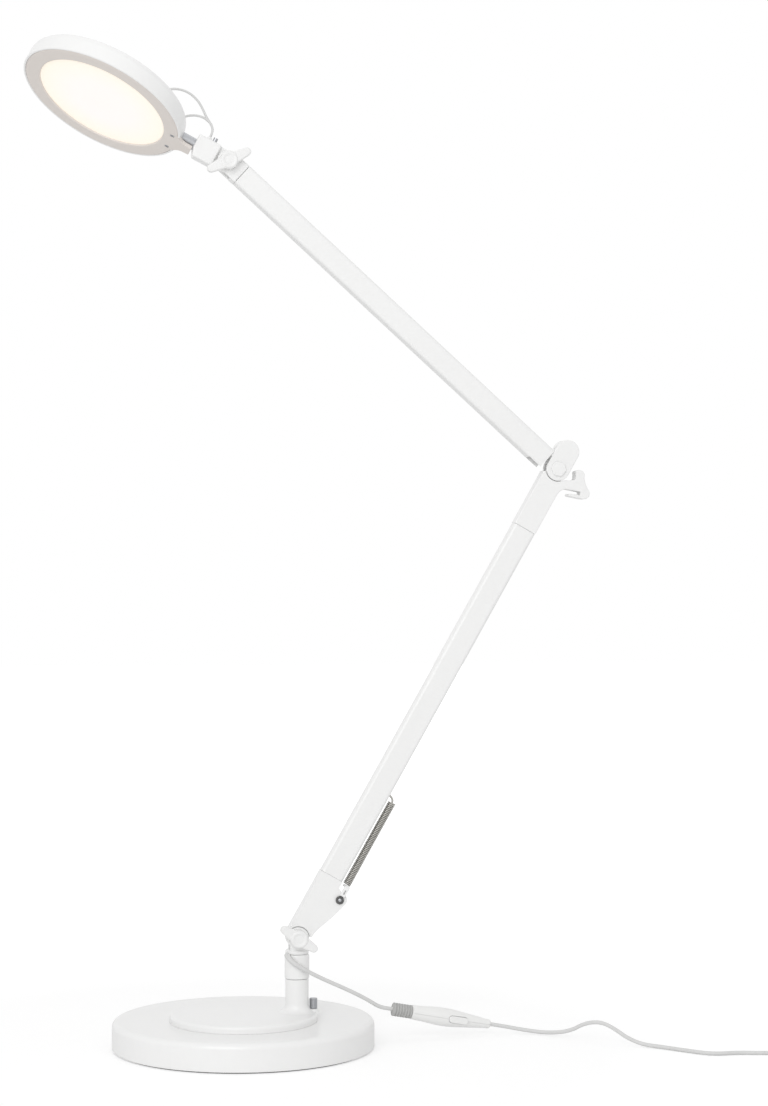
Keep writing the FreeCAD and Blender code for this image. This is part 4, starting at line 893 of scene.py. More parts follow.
@dataclass
class LowerArm:
    """The lower arm: foot casting with its ear, tube, outside spring and the elbow casting."""

    width: float = 20.4
    depth: float = 14.0
    cast: float = 59.0
    length: float = LOWER_LENGTH
    pin_at: float = 44.5
    pin_off: float = 15.4
    pin_radius: float = 3.5
    ear: float = 6.4
    spring_from: float = 58.0
    spring_to: float = 137.8
    spring_off: float = 15.6
    spring_radius: float = 3.0
    wire: float = 0.6
    turns: int = 54
    slot_span: Point = (137.4, 151.6)
    slot_half: float = 1.6
    slider_span: Point = (144.0, 158.0)
    slider_half: float = 8.3

    def build(self, shop: Workshop) -> None:
        """Builds the arm's pieces in order."""
        slot = box_of("slot", self.slot_span, (-self.slot_half, self.slot_half), (-self.width, -7.0))
        ArmTube("lower_tube_body", "lower_tube", Body.LOWER, self.cast, self.length - self.cast, self.width,
                self.depth).build(shop, LOWER, slot)
        self.foot(shop)
        self.pin(shop)
        self.lug(shop)
        self.spring(shop)
        self.hook(shop)
        self.elbow(shop)

    def foot(self, shop: Workshop) -> None:
        """Builds the casting on the tilt axis: tongue, body and the ear for the spring's pin."""
        half, x, off, ear = self.width / 2, self.pin_at, self.pin_off, self.ear
        d = self.depth / 2
        items = [(0.6, half), (self.cast - 0.15, half), (self.cast - 0.15, -half), (x + ear + 2.0, -half),
                 (x + ear, -off + 1.0), ((x + ear * 0.7071, -off - ear * 0.7071), (x - 0.6, -off - ear)),
                 (x - 14.0, -off - 2.4), (13.0, -half - 0.8), (6.0, -half + 0.6)]
        body = plate("lower_foot_casting", items, -d, d, 0)
        room = rod("room", -d - 1, d + 1, 9.8, "Y", 72)
        combine(body, room, "DIFFERENCE")
        soften(body, 0.9, 50)
        tongue = plate("tongue", [(0.0, -8.4), (14.0, -8.4), (14.0, 8.4), (0.0, 8.4), ((-8.8, 0.0), (0.0, -8.4))],
                       -4.0, 4.0, 0, 24)
        casting = merged("lower_foot_casting", [body, tongue])
        shop.place(casting, LOWER, Body.LOWER, "white_enamel", ("lower_casting",), 38)

    def pin(self, shop: Workshop) -> None:
        """Builds the spring's pin, with a ring round its light centre."""
        front, back, r = -self.depth / 2, self.depth / 2, self.pin_radius
        profile = [(back + 1.0, 0.0), (back + 1.0, r - 0.4), (back + 0.6, r), (back, r), (front, r),
                   (front - 1.2, r), (front - 1.8, r - 0.6), (front - 1.8, 1.7), (front - 1.2, 1.4),
                   (front - 1.2, 0.0)]
        pin = moved(lathe("spring_pin_body", profile, "Y", 48), self.pin_at, 0, -self.pin_off)
        shop.place(pin, LOWER, Body.LOWER, "dark_steel", ("spring_pin",), 30)
        centre = lathe("pin_centre", [(front - 1.15, 0.0), (front - 1.15, 1.5), (front - 1.5, 1.4),
                                      (front - 1.7, 0.9), (front - 1.75, 0.0)], "Y", 32)
        shop.place(moved(centre, self.pin_at, 0, -self.pin_off), LOWER, Body.LOWER, "zinc_steel", (), 50)

    def lug(self, shop: Workshop) -> None:
        """Builds the painted lug from the pin to the spring, with its long slot and its turned-in foot."""
        d, near, off, end = self.depth / 2, self.pin_at + 3.8, self.pin_off, self.spring_from - 0.1
        lug = plate("spring_lug", [(near, -off - 2.2), (end, -off - 2.4), (end, -off + 2.0), (near, -off + 2.2)],
                    -d - 3.2, -d, 0.5)
        slot = plate("slot", [(50.6, -off - 0.7), (53.6, -off - 0.7), ((54.3, -off), (53.6, -off + 0.7)),
                              (50.6, -off + 0.7), ((49.9, -off), (50.6, -off - 0.69))], -d - 4, -d - 1.2, 0, 8)
        combine(lug, slot, "DIFFERENCE")
        foot = box_of("foot", (end - 2.0, end), (-d - 1.0, 3.0), (-off - 2.4, -off + 2.0), 0.4)
        combine(lug, foot, "UNION")
        shop.place(lug, LOWER, Body.LOWER, "white_enamel", ("spring_strap",), 40)

    def hook(self, shop: Workshop) -> None:
        """Builds the slider inside the tube and the wire hook that the spring's upper end pulls."""
        z = self.slider_half
        block = box_of("pull_slider_body", self.slider_span, (-5.1, 1.7), (-z, z), 0.9)
        shop.place(block, LOWER, Body.PULL, "bearing_plastic", ("pull_slider",), 40)
        line = smooth_line("pull_hook", [Vector(p) * MM for p in HOOK])
        shop.place(tube_along("pull_hook_wire", line, 0.9 * MM, 12), LOWER, Body.PULL, "spring_steel", (), 60)

    def spring(self, shop: Workshop) -> None:
        """Builds the extension spring: a round wire section wound by a screw."""
        deselect()
        bpy.ops.mesh.primitive_circle_add(vertices=10, radius=self.wire * MM, fill_type="NOTHING",
                                          location=(self.spring_radius * MM, 0, 0), rotation=(math.pi / 2, 0, 0))
        obj = bpy.context.object
        obj.name = "balance_spring_wire"
        bpy.ops.object.transform_apply(location=True, rotation=True, scale=True)
        screw = obj.modifiers.new("wound", "SCREW")
        screw.axis = "Z"
        screw.screw_offset = (self.spring_to - self.spring_from - 2 * self.wire) / self.turns * MM
        screw.iterations = self.turns
        screw.steps = 20
        screw.render_steps = 20
        screw.use_merge_vertices = True
        apply_modifiers(obj)
        bpy.ops.object.mode_set(mode="EDIT")
        bpy.ops.mesh.select_all(action="DESELECT")
        bpy.ops.mesh.select_non_manifold()
        bpy.ops.mesh.edge_face_add()
        close_mesh()
        lie = Matrix.Translation(Vector((self.spring_from + self.wire, 0, -self.spring_off)) * MM)
        obj.data.transform(lie @ Matrix.Rotation(math.pi / 2, 4, "Y"))
        shop.dress(obj, LOWER, "spring_steel", 60)
        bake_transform(obj)
        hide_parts("balance_spring")

    def elbow(self, shop: Workshop) -> None:
        """Builds the casting at the elbow: body, round saddle and the curled rest behind it."""
        half, x, d = self.width / 2, self.length, self.depth / 2
        saddle = half + 0.5
        a, b = math.radians(130), math.radians(-130)
        items = [(x - self.cast + 0.15, half), (x + saddle * math.cos(a) - 0.4, half),
                 (x + saddle * math.cos(a), saddle * math.sin(a)),
                 ((x - saddle, 0.0), (x + saddle * math.cos(b), saddle * math.sin(b))), (x - 0.4, -17.6),
                 ((x + 2.8, -16.6), (x + 5.6, -14.6)), ((x + 9.0, -17.4), (x + 5.0, -23.8)),
                 ((x + 0.4, -28.4), (x - 3.0, -33.6)), ((x - 7.6, -35.2), (x - 11.6, -31.6)), (x - 15.4, -20.4),
                 ((x - 14.9, -18.9), (x - 13.4, -19.2)), (x - 10.2, -27.2), ((x - 8.6, -27.6), (x - 7.4, -26.4)),
                 (x - 11.6, -14.2), ((x - 15.6, -11.2), (x - 21.0, -half)), (x - self.cast + 0.15, -half)]
        body = plate("elbow_casting_body", items, -d, d, 0.8, 8)
        tongue = plate("tongue", [(x - 13.0, -7.2), (x, -7.8), ((x + 7.8, 0.0), (x, 7.8)), (x - 13.0, 7.2)],
                       -4.0, 1.05, 0, 24)
        casting = merged("elbow_casting_body", [body, tongue])
        shop.place(casting, LOWER, Body.LOWER, "white_enamel", ("elbow_casting",), 38)


@dataclass
class UpperArm:
    """The upper arm: knuckle at the elbow, tube and the clevis at the head end."""

    width: float = 19.0
    depth: float = 18.0
    length: float = UPPER_LENGTH
    start: float = 13.0
    clevis_from: float = 16.0
    lobe_out: float = 17.0
    lobe: float = 10.2
    cheek_in: float = 4.2
    cheek_out: float = 7.8
    clevis_eye: float = 9.2
    neck_top: float = -4.5

    def build(self, shop: Workshop) -> None:
        """Builds the arm's pieces in order."""
        half, d = self.width / 2, self.depth / 2
        notch = box_of("notch", (0, 26.0), (-d + 1.5, d - 1.5), (half - 5.0, self.width))
        ArmTube("upper_tube_body", "upper_tube", Body.UPPER, self.start, self.length - self.clevis_from,
                self.width, self.depth).build(shop, UPPER, notch)
        self.knuckle(shop)
        self.clevis(shop)
        self.cap(shop)

    def knuckle(self, shop: Workshop) -> None:
        """Builds the two cheeks of the knuckle, with their long round lobe, and the web between them."""
        r, out, web = self.lobe, self.lobe_out, self.lobe - 0.6
        outline = [(0.0, r), ((-r, 0.0), (0.0, -r)), (out, -r), ((out + r, 0.0), (out, r))]
        pieces = cheeks(outline, self.cheek_in, self.cheek_out, 0.9, 28)
        y = self.cheek_in + 0.6
        pieces.append(plate("web", [(8.9, -web), (out, -web), ((out + web, 0.0), (out, web)), (8.9, web)],
                            -y, y, 0, 24))
        y = self.cheek_out - 0.1
        neck = box_of("neck", (2.0, self.start - 0.1), (-y, y), (-self.width / 2, self.neck_top), 0.8)
        tab = box_of("tab", (11.0, 34.0), (-7.3, 7.3), (-7.8, self.neck_top), 0.4)
        for part in (neck, tab):
            part.data.transform(ELBOW.matrix().inverted() @ UPPER.matrix())
        knuckle = merged("elbow_knuckle_body", pieces + [neck, tab])
        shop.place(knuckle, ELBOW, Body.UPPER, "white_enamel", ("elbow_knuckle",), 38)

    def cap(self, shop: Workshop) -> None:
        """Builds the six-sided cap on the elbow's bolt."""
        deselect()
        bpy.ops.mesh.primitive_cylinder_add(vertices=6, radius=6.8 * MM, depth=2.2 * MM,
                                            location=(0, 0, 0), rotation=(math.pi / 2, 0, 0))
        obj = bpy.context.object
        obj.name = "elbow_cap_body"
        bpy.ops.object.transform_apply(location=True, rotation=True, scale=True)
        soften(obj, 0.6, 30)
        moved(obj, y=-self.cheek_out - 1.1)
        shop.place(obj, UPPER, Body.UPPER, "white_enamel", ("elbow_cap",))

    def clevis(self, shop: Workshop) -> None:
        """Builds the stepped end casting and its two cheeks on the head's tilt axis."""
        x, half = self.length, self.width / 2
        first, web, r = x - self.clevis_from + 0.1, x - 10.0, self.clevis_eye
        body = box_of("arm_end_clevis_body", (first, web), (-self.cheek_out, self.cheek_out), (-half, half), 1.0)
        outline = [(web - 3, -r), (x, -r), ((x + r, 0.0), (x, r)), (web - 3, r)]
        for cheek in cheeks(outline, self.cheek_in, self.cheek_out, 0.6, 24):
            combine(body, cheek, "UNION")
        shop.place(body, UPPER, Body.UPPER, "white_enamel", ("arm_end_clevis",), 38)


# ---------------------------------------------------------------- head
@dataclass
class LampHead:
    """The round flat head: pressed housing, grey bezel with its tail, diffuser, block and leads."""

    radius: float = 71.4
    top: float = 9.8
    wall: float = 1.8
    edge: float = 7.0
    face: float = -8.5
    bezel: float = 69.5
    opening: float = 57.3
    bezel_thick: float = 3.4
    lip: float = 1.6
    tail_end: float = 82.6
    tail_root: float = 14.5
    tail_neck: float = 6.2
    screw_x: float = 63.7
    screw_y: float = 11.1
    block_from: float = 83.2
    stub_at: float = 92.1
    lead: float = 1.0
    shaft_room: float = 5.05
    roll: float = math.radians(HEAD_ROLL)

    def build(self, shop: Workshop) -> None:
        """Builds the head's pieces in order."""
        self.housing(shop)
        self.ring(shop)
        self.diffuser(shop)
        self.screws(shop)
        self.block(shop)
        self.leads(shop)

    def housing(self, shop: Workshop) -> None:
        """Builds the pressed back housing with its rounded edge and the rim that the bezel sits in."""
        r, q, w, front = self.radius, self.edge, self.wall, self.face + 0.3
        profile = [(0.0, self.top - w)] + quarter(r - q, self.top - q, q - w, 90, 0, 8)
        profile += [(r - w, front + 0.3), (r - w + 0.3, front), (r - 0.5, front), (r, front + 0.5)]
        profile += quarter(r - q, self.top - q, q, 0, 90, 14) + [(0.0, self.top)]
        shell = lathe("head_housing_shell", profile, steps=160)
        seat_top = self.face + self.bezel_thick + 0.05
        seat = box_of("tail_seat", (self.screw_x, 90), (-13.4, 13.4), (self.face - 1, seat_top))
        combine(shell, seat, "DIFFERENCE")
        combine(shell, rod("room", 58, 88, self.shaft_room, "X"), "DIFFERENCE")
        shop.place(shell, HEAD, Body.HEAD, "white_enamel", ("head_housing",), 32)

    def ring(self, shop: Workshop) -> None:
        """Builds the grey ring with its rebate, and the tapering tail under the shaft."""
        r, f, t, o = self.bezel, self.face, self.bezel_thick, self.opening
        ring = lathe("head_bezel_ring", [
            (o + 3, f + t), (o + 3, f + self.lip), (o - 1.0, f + self.lip), (o - 0.6, f + 0.5), (o, f + 0.1),
            (o + 0.5, f), (r - 1.2, f), (r - 0.5, f + 0.3), (r, f + 1.0), (r, f + t), (o + 3, f + t)], steps=160)
        s, root, neck = self.screw_x, self.tail_root, self.tail_neck
        flank = run_of([(s - 2, root + 5.5), (s + 4.3, root), (s + 7.3, root - 3.5),
                        ((s + 9.9, neck + 1.8), (s + 13.3, neck + 0.4)), (self.tail_end, neck)])
        tail = plate("tail", [(x, -y) for x, y in flank] + flank[::-1], 0.04, t - 0.04, 0.5)
        tail.data.transform(Matrix.Rotation(math.pi / 2, 4, "X"))
        combine(ring, moved(tail, z=f), "UNION")
        for side in (-1, 1):
            well = moved(rod("well", f - 1, f + 1.6, 2.1, steps=32), s, side * self.screw_y)
            combine(ring, well, "DIFFERENCE")
        shop.place(ring, HEAD, Body.HEAD, "bezel_grey", ("head_bezel",), 32)

    def diffuser(self, shop: Workshop) -> None:
        """Builds the opal sheet, very slightly crowned towards the front."""
        low, r = self.face + self.lip + 0.05, self.opening + 2.8
        profile = [(0.0, low + 1.7), (r, low + 1.7), (r, low), (r - 5, low - 0.02), (0.0, low - 0.25)]
        sheet = lathe("opal_diffuser_sheet", profile, steps=128)
        shop.place(sheet, HEAD, Body.HEAD, "opal_diffuser", ("diffuser",))

    def screws(self, shop: Workshop) -> None:
        """Builds the two bezel screws with their cross recess."""
        pieces = []
        f = self.face + 0.1
        for side in (-1, 1):
            head = lathe("screw", [(0.0, f), (1.6, f), (2.0, f + 0.4), (2.0, f + 1.5), (1.15, f + 1.5),
                                   (1.15, f + 8.5), (0.0, f + 8.5)], steps=32)
            for turn in (0.6, 0.6 + math.pi / 2):
                bar = box_of("cross", (-1.2, 1.2), (-0.7, 0.7), (-0.2, 0.2))
                bar.data.transform(Matrix.Translation((0, 0, f * MM)) @ Matrix.Rotation(turn, 4, "Z")
                                   @ Matrix.Rotation(math.pi / 2, 4, "X"))
                combine(head, bar, "DIFFERENCE")
            pieces.append(moved(head, self.screw_x, side * self.screw_y))
        shop.place(merged("bezel_screw_pair", pieces), HEAD, Body.HEAD, "zinc_steel", ("bezel_screws",))

    def block(self, shop: Workshop) -> None:
        """Builds the head block, its tongue on the tilt axis and the leads' stub."""
        x0, x1 = self.block_from, HEAD_LENGTH - 10.6
        body = plate("head_block_body", [(x0, -3.4), (x0 + 2.6, -10.4), (x1, -10.4), (x1, 9.0), (x0, 9.0)],
                     -8.0, 8.0, 1.4)
        combine(body, rod("bore", 78, 100.2, self.shaft_room, "X"), "DIFFERENCE")
        end = HEAD_LENGTH
        tongue = plate("tongue", [(x1 - 1, -8.4), (end, -8.8), ((end + 8.8, 0.0), (end, 8.8)), (x1 - 1, 8.4)],
                       -4.0, 4.0, 0, 24)
        stub = moved(lathe("stub", [(0.0, 8.5), (2.9, 8.5), (2.3, 9.6), (2.0, 11.0), (1.6, 11.6), (0.0, 11.6)],
                           steps=32), self.stub_at)
        casting = merged("head_block_body", [body, tongue, stub])
        shop.place(casting, BLOCK, Body.HEAD_JOINT, "white_enamel", ("head_block",), 38)

    def over_back(self, x: float, height: float) -> Vector:
        """Returns a point square above the rolled back, over the leads' own plane, in the block's station."""
        square = Vector((0, -math.sin(self.roll), math.cos(self.roll)))
        return Vector((x, 0, self.top / math.cos(self.roll))) + square * height

    def leads(self, shop: Workshop) -> None:
        """Builds the two thin leads as tubes along smooth lines, each bending across the roll joint."""
        frame = BLOCK.matrix()
        stub = ((self.stub_at, 0, 11.6), (self.stub_at, 0, 17.2))
        for name, first, x, height in (("head_lead_high", stub + HIGH_LEAD, 36.5, 7.4),
                                       ("head_lead_low", LOW_LEAD, 63.8, 4.1)):
            route = [Vector(p) for p in first] + [self.over_back(x, height), self.over_back(x, 1.4)]
            line = smooth_line(name, [frame @ (p * MM) for p in route])
            tube = tube_along(name, line, self.lead * MM, 12)
            tube.data.materials.append(shop.finishes["cord_white"])
            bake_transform(tube)
            if name.endswith("high"):
                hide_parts("head_cable")


# ---------------------------------------------------------------- cords
def smooth_line(name: str, points: list[Vector]) -> list[Vector]:
    """Reads a smooth line from a NURBS spline with the points as its control points.

    Args:
        name: A name for the helper curve.
        points: The route in metres.

    Returns:
        Closely spaced points along the spline.
    """
    curve = nurbs(name + "_route", points)
    obj = bpy.data.objects.new(name + "_route", curve)
    mesh = bpy.data.meshes.new_from_object(obj)
    line = [v.co.copy() for v in mesh.vertices]
    bpy.data.objects.remove(obj)
    bpy.data.meshes.remove(mesh)
    return line


def spline_curve(name: str, kind: str, points: list[Vector]) -> bpy.types.Curve:
    """Builds a curve of one open spline of that kind on these points."""
    curve = bpy.data.curves.new(name, "CURVE")
    curve.dimensions = "3D"
    spline = curve.splines.new(kind)
    spline.points.add(len(points) - 1)
    for target, point in zip(spline.points, points):
        target.co = (*point, 1)
    return curve


def nurbs(name: str, points: list[Vector], steps: int = 12) -> bpy.types.Curve:
    """Builds a curve of one open NURBS spline of order 3 through its end points."""
    curve = spline_curve(name, "NURBS", points)
    curve.splines[0].order_u = 3
    curve.splines[0].use_endpoint_u = True
    curve.resolution_u = steps
    return curve


def length_of(line: list[Vector]) -> float:
    """Returns a line's length in metres."""
    return sum((b - a).length for a, b in zip(line, line[1:]))


def tube_along(name: str, line: list[Vector], radius: float, sides: int,
               end: float = 1.0) -> bpy.types.Object:
    """Builds a closed round tube along a line, evenly tapered.

    Args:
        name: The piece's name.
        line: Its centre line in metres.
        radius: Its radius in metres.
        sides: Sides of its section.
        end: Its radius at the end, as a share of the first.

    Returns:
        The tube.
    """
    curve = spline_curve(name, "POLY", line)
    for k, target in enumerate(curve.splines[0].points):
        target.radius = 1 + (end - 1) * k / (len(line) - 1)
    curve.bevel_depth = radius
    curve.bevel_resolution = sides // 4 - 1
    curve.use_fill_caps = True
    obj = bpy.data.objects.new(name, curve)
    bpy.context.scene.collection.objects.link(obj)
    only(obj)
    bpy.ops.object.convert(target="MESH")
    obj = bpy.context.object
    bpy.ops.object.mode_set(mode="EDIT")
    close_mesh()
    bpy.ops.object.shade_smooth_by_angle(angle=math.radians(50))
    return obj


@dataclass
class SupplyCord:
    """The white supply cord with its inline switch, put-away coil and plug."""

    diameter: float = 3.4
    start: tuple[float, float, float] = (127.9, 5.0, 26.9)
    along: tuple[float, float, float] = (0.9757, 0.1012, -0.1943)
    body_length: float = 89.0
    grip_length: float = 17.0
    ribs: int = 7
    button_at: float = 58.0
    turns: float = 4.0
    turn_gap: float = 4.0
    coil_middle: float = 18.7
    coil_x: float = 474.0
    line_y: float = -108.0
    dip: float = 0.8
    plug_length: float = 34.0
    plug_thick: float = 11.2

    def build(self, shop: Workshop) -> None:
        """Builds the sleeve, the switch, the plug and both stretches of cord."""
        switch = self.switch(shop)
        plug = self.plug(shop)
        self.cords(shop, switch, plug)

    def switch_matrix(self) -> Matrix:
        """Returns the matrix from the switch's own frame, X along it and Z up, in metres."""
        along = Vector(self.along).normalized()
        side = Vector((0, 0, 1)).cross(along).normalized()
        top = along.cross(side)
        turn = Matrix((along, side, top)).transposed().to_4x4()
        return Matrix.Translation(Vector(self.start) * MM) @ turn

    def switch(self, shop: Workshop) -> list[bpy.types.Object]:
        """Builds the ribbed grip, the two half shells and the push button.

        Returns:
            The pieces, for the cord that they are on.
        """
        r, rib = 5.7, self.grip_length / self.ribs
        grip = [(0.0, 0.0), (0.0, 3.6), (0.5, 4.6)]
        for k in range(self.ribs):
            x = k * rib
            grip += [(x + 0.35, r - 0.5), (x + 0.6, r), (x + rib - 0.7, r), (x + rib - 0.45, r - 0.5),
                     (x + rib - 0.25, r - 0.9)]
        grip += [(self.grip_length - 0.05, r - 0.9), (self.grip_length - 0.05, 0.0)]
        pieces = [(lathe("switch_grip_body", grip, "X", 48), "grip_grey", "adapter_grip", Body.STAND)]
        g = self.grip_length
        shape = run_of([(g, 0.0), (g, 5.7), (g + 0.4, 6.05), ((27.0, 6.55), (37.0, 7.45)),
                        ((49.0, 7.75), (62.0, 6.65)), ((75.0, 5.2), (86.0, 3.9)),
                        ((88.3, 3.5), (self.body_length, 2.7)), (self.body_length, 0.0)], 8)
        for name, node, turn in (("switch_upper_shell", "adapter_upper", 0.0),
                                 ("switch_lower_shell", "adapter_lower", math.pi)):
            shell = lathe(name, shape, "X", 64)
            keep = box_of("keep", (0, 100), (-20, 20), (0.06, 20))
            keep.data.transform(Matrix.Rotation(turn, 4, "X"))
            combine(shell, keep, "INTERSECT")
            well = self.pad("well", 9.0, 3.2, -12.0, -2.0)
            combine(shell, well, "DIFFERENCE")
            pieces.append((shell, "switch_white", node, Body.STAND))
        button = self.pad("switch_button_cap", 8.7, 2.9, -8.2, -3.5)
        soften(button, 0.6, 60)
        pieces.append((button, "switch_white", "switch_button", Body.SWITCH))
        for obj, slot, node, body in pieces:
            obj.data.transform(self.switch_matrix())
            shop.place(obj, FLOOR, body, slot, (node,), 34)
        return [p[0] for p in pieces]

    def pad(self, name: str, half_length: float, half_width: float, y0: float, y1: float) -> bpy.types.Object:
        """Builds a long rounded pad in the switch's frame, about the button's place."""
        x, h, w = self.button_at, half_length, half_width
        return plate(name, [(x - h + w, -w), (x + h - w, -w), ((x + h, 0.0), (x + h - w, w)), (x - h + w, w),
                            ((x - h, 0.0), (x - h + w, -w + 0.001))], y0, y1, 0, 10)

    def coil(self) -> list[Vector]:
        """Works out the coil's points: in along the lower layer, up, and out along the upper one."""
        gap, per_turn = self.turn_gap, 12
        r_in = self.coil_middle - gap * self.turns / 2
        r_out = r_in + gap * self.turns
        total = 2 * self.turns
        rows = []
        for k in range(int(total * per_turn) + 1):
            t = k / per_turn
            r, z = r_out - gap * t, 0.0
            if t > self.turns + 0.5:
                r, z = r_in + gap * (t - self.turns - 0.5), gap
            elif t > self.turns:
                climb = math.tau * (t - self.turns)
                r, z = r_in - self.dip * math.sin(climb), gap * (1 - math.cos(climb)) / 2
            a = math.tau * t - math.pi / 2
            stretch = 1 / math.cos(math.pi / per_turn / 1.42)
            rows.append(Vector((self.coil_x + r * stretch * math.cos(a),
                                self.line_y + r_out + r * stretch * math.sin(a), self.diameter / 2 + 0.05 + z)))
        return rows

    def plug(self, shop: Workshop) -> list[bpy.types.Object]:
        """Builds the flat two-pin plug with its tapered, ribbed tail.

        Returns:
            The body and the pins.
        """
        l, h = self.plug_length, self.plug_thick / 2
        body = plate("plug_body_moulding", [
            (0.0, -3.4), (8.0, -4.2), ((17.0, -9.8), (25.0, -12.0)), (l, -12.0), (l, 12.0), (25.0, 12.0),
            ((17.0, 9.8), (8.0, 4.2)), (0.0, 3.4)], -h, h, 1.7)
        for x in (1.6, 3.6, 5.6, 7.6):
            groove = box_of("groove", (x, x + 0.9), (-10, 10), (-10, 10))
            combine(groove, box_of("core", (x - 1, x + 2), (-4.4, 4.4), (-2.9, 2.9)), "DIFFERENCE")
            combine(body, groove, "DIFFERENCE")
        pins = []
        for side in (-1, 1):
            profile = [(l, 0.0), (l, 2.0), (l + 17.6, 2.0)] + quarter(l + 17.2, 0.0, 1.95, 75, 0, 6)
            pins.append(moved(lathe("pin", profile, "X", 32), 0, side * 9.5, 0))
        pair = merged("plug_pin_pair", pins)
        heading = math.atan2(-4.4, 13.0)
        entry = Vector((self.coil_x + self.diameter + 38.0, self.line_y - 7.4, self.plug_thick / 2)) * MM
        lie = Matrix.Translation(entry) @ Matrix.Rotation(heading, 4, "Z")
        body.data.transform(lie @ Matrix.Rotation(-math.pi / 2, 4, "X"))
        pair.data.transform(lie)
        shop.place(body, FLOOR, Body.STAND, "cord_white", ("plug_body",), 34)
        shop.place(pair, FLOOR, Body.STAND, "plated_brass", ("plug_pins",), 34)
        return [body, pair]

    def cords(self, shop: Workshop, switch: list[bpy.types.Object], plug: list[bpy.types.Object]) -> None:
        """Builds the sleeve and the cord, which runs through the switch and its coil to the plug."""
        along = Vector(self.along).normalized()
        start = Vector(self.start)
        end = start + along * self.body_length
        coil = self.coil()
        route = [Vector(p) for p in CORD_DOWN] + [start - along * 12.0, start, end, end + along * 12.5]
        route += [Vector(p) for p in CORD_ALONG] + coil
        route += [Vector((self.coil_x + x, self.line_y + y, coil[-1].z)) for x, y in CORD_OUT]
        self.sleeve(shop, [Vector(p) for p in SLEEVE])
        self.curve(shop, route, switch + plug)

    def sleeve(self, shop: Workshop, route: list[Vector]) -> None:
        """Builds the moulded sleeve that hugs the collar, tapering to the cord."""
        line = smooth_line("sleeve", [p * MM for p in route])
        obj = tube_along("cord_sleeve", line, 2.5 * MM, 16, 0.72)
        shop.place(obj, FLOOR, Body.STAND, "cord_white", ("cord_gland",), 50)

    def curve(self, shop: Workshop, route: list[Vector], pieces: list[bpy.types.Object]) -> None:
        """Builds the cord as a round curve along its smooth line and logs its measured length.

        Args:
            shop: Where finished pieces go.
            route: The line's points in mm.
            pieces: The switch's and the plug's pieces; not used.
        """
        points = [p * MM for p in route]
        data = nurbs("supply_cord", points, 8)
        data.bevel_depth = self.diameter / 2 * MM
        data.bevel_resolution = 4
        data.use_fill_caps = True
        data.materials.append(shop.finishes["cord_white"])
        obj = bpy.data.objects.new("supply_cord", data)
        bpy.context.scene.collection.objects.link(obj)
        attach(obj, Body.STAND.value)
        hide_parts("lamp_cord", "table_cord", "cord_coil", "plug_cord")
        length = length_of(smooth_line("supply_cord", points))
        LOG.info("supply cord: %.3f m", length)


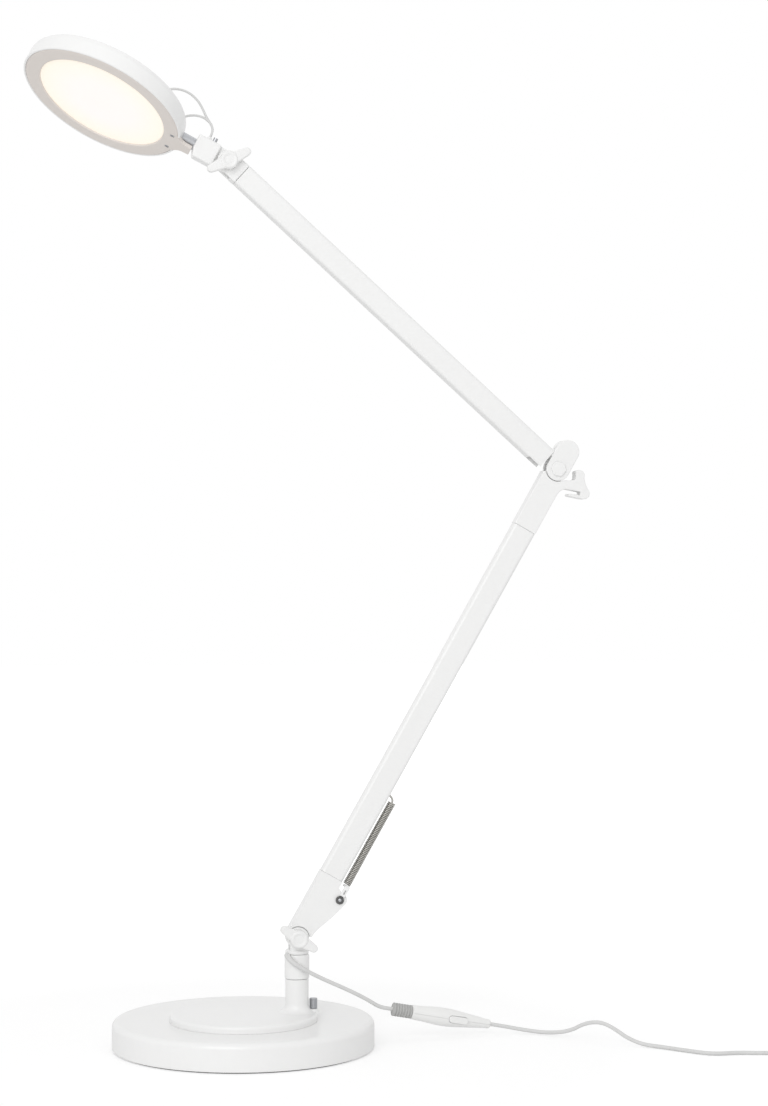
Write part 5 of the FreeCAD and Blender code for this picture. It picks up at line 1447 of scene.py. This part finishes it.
# ---------------------------------------------------------------- studio
@dataclass
class Studio:
    """Pale floor, plain soft light and the photograph's camera."""

    camera_at: tuple[float, float, float] = (-0.2462, -2.0758, 0.415)
    heading: float = -10.0
    lens: float = 80.86
    world: float = 0.74
    key: float = 22.0
    top_share: float = 0.07
    floor_glow: float = 1.32
    floor_fade: tuple[float, float, float] = (0.3, 1.3, 0.36)

    def build(self) -> None:
        """Builds the camera, the lights, the world and the floor."""
        scene = bpy.context.scene
        scene.view_settings.view_transform = "Standard"
        self.camera(scene)
        self.lights(scene)
        self.floor()

    def camera(self, scene: bpy.types.Scene) -> None:
        """Puts the level camera where the photograph was taken from."""
        data = bpy.data.cameras.new("camera")
        data.lens = self.lens
        data.sensor_width = 36.0
        data.sensor_fit = "AUTO"
        camera = bpy.data.objects.new("camera", data)
        camera.location = self.camera_at
        camera.rotation_euler = (math.pi / 2, 0, math.radians(self.heading))
        scene.collection.objects.link(camera)
        scene.camera = camera

    def lights(self, scene: bpy.types.Scene) -> None:
        """Sets an even world that is seen white, and two large soft lights from above."""
        world = bpy.data.worlds.new("world")
        world.use_nodes = True
        scene.world = world
        tree = world.node_tree
        path = add_node(tree, "LightPath")
        seen = math_node(tree, "MAXIMUM", path.outputs["Is Camera Ray"], path.outputs["Is Glossy Ray"])
        strength = spread(tree, seen, 0.0, 1.0, self.world)
        fill(tree, tree.nodes["Background"], {"Strength": strength, "Color": (1, 1, 1, 1)})
        for name, place, size, power in (("front_light", (-1.0, -2.3, 1.5), 1.6, self.key),
                                         ("top_light", (0.3, 0.4, 2.0), 1.2, self.key * self.top_share)):
            data = bpy.data.lights.new(name, "AREA")
            data.energy = power
            data.size = size
            lamp = bpy.data.objects.new(name, data)
            lamp.location = place
            aim = Vector((0.05, 0, 0.4)) - Vector(place)
            lamp.rotation_euler = aim.to_track_quat("-Z", "Y").to_euler()
            scene.collection.objects.link(lamp)

    def floor(self) -> None:
        """Builds a wide floor that the camera sees as nearly white, with a faint shadow kept."""
        deselect()
        bpy.ops.mesh.primitive_plane_add(size=14, location=(0, 0, 0))
        floor = bpy.context.object
        floor.name = "floor"
        material = bpy.data.materials.new("pale_floor")
        material.use_nodes = True
        tree = material.node_tree
        shader = tree.nodes["Principled BSDF"]
        fill(tree, shader, {"Base Color": (0.9, 0.9, 0.9, 1), "Roughness": 0.7})
        glow = add_node(tree, "Emission", {"Strength": self.floor_glow})
        place = add_node(tree, "TexCoord").outputs["Object"]
        away = add_node(tree, "VectorMath", {0: place}, operation="LENGTH")
        fade = spread(tree, away.outputs["Value"], *self.floor_fade)
        seen = add_node(tree, "LightPath").outputs["Is Camera Ray"]
        mix = add_node(tree, "MixShader", {"Fac": math_node(tree, "MULTIPLY", seen, fade),
                                           1: shader.outputs["BSDF"], 2: glow.outputs["Emission"]})
        tree.links.new(mix.outputs["Shader"], node_of(tree, "OUTPUT_MATERIAL").inputs["Surface"])
        floor.data.materials.append(material)
        floor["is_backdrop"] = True


def main() -> None:
    """Builds the lamp from the base up and then its studio."""
    logging.basicConfig(level=logging.INFO)
    shop = Workshop()
    Studio().build()
    SupplyCord().build(shop)
    Base().build(shop)
    Swivel().build(shop)
    WingKnob("tilt_wing_knob_body", "tilt_wing_knob", Body.TILT_KNOB, 18.0, -33.0).build(shop, LOWER)
    LowerArm().build(shop)
    UpperArm().build(shop)
    WingKnob("head_wing_knob_body", "head_wing_knob", Body.HEAD_KNOB, 20.0, 26.0).build(shop, HEAD_TILT)
    LampHead().build(shop)


if __name__ == "__main__":
    main()
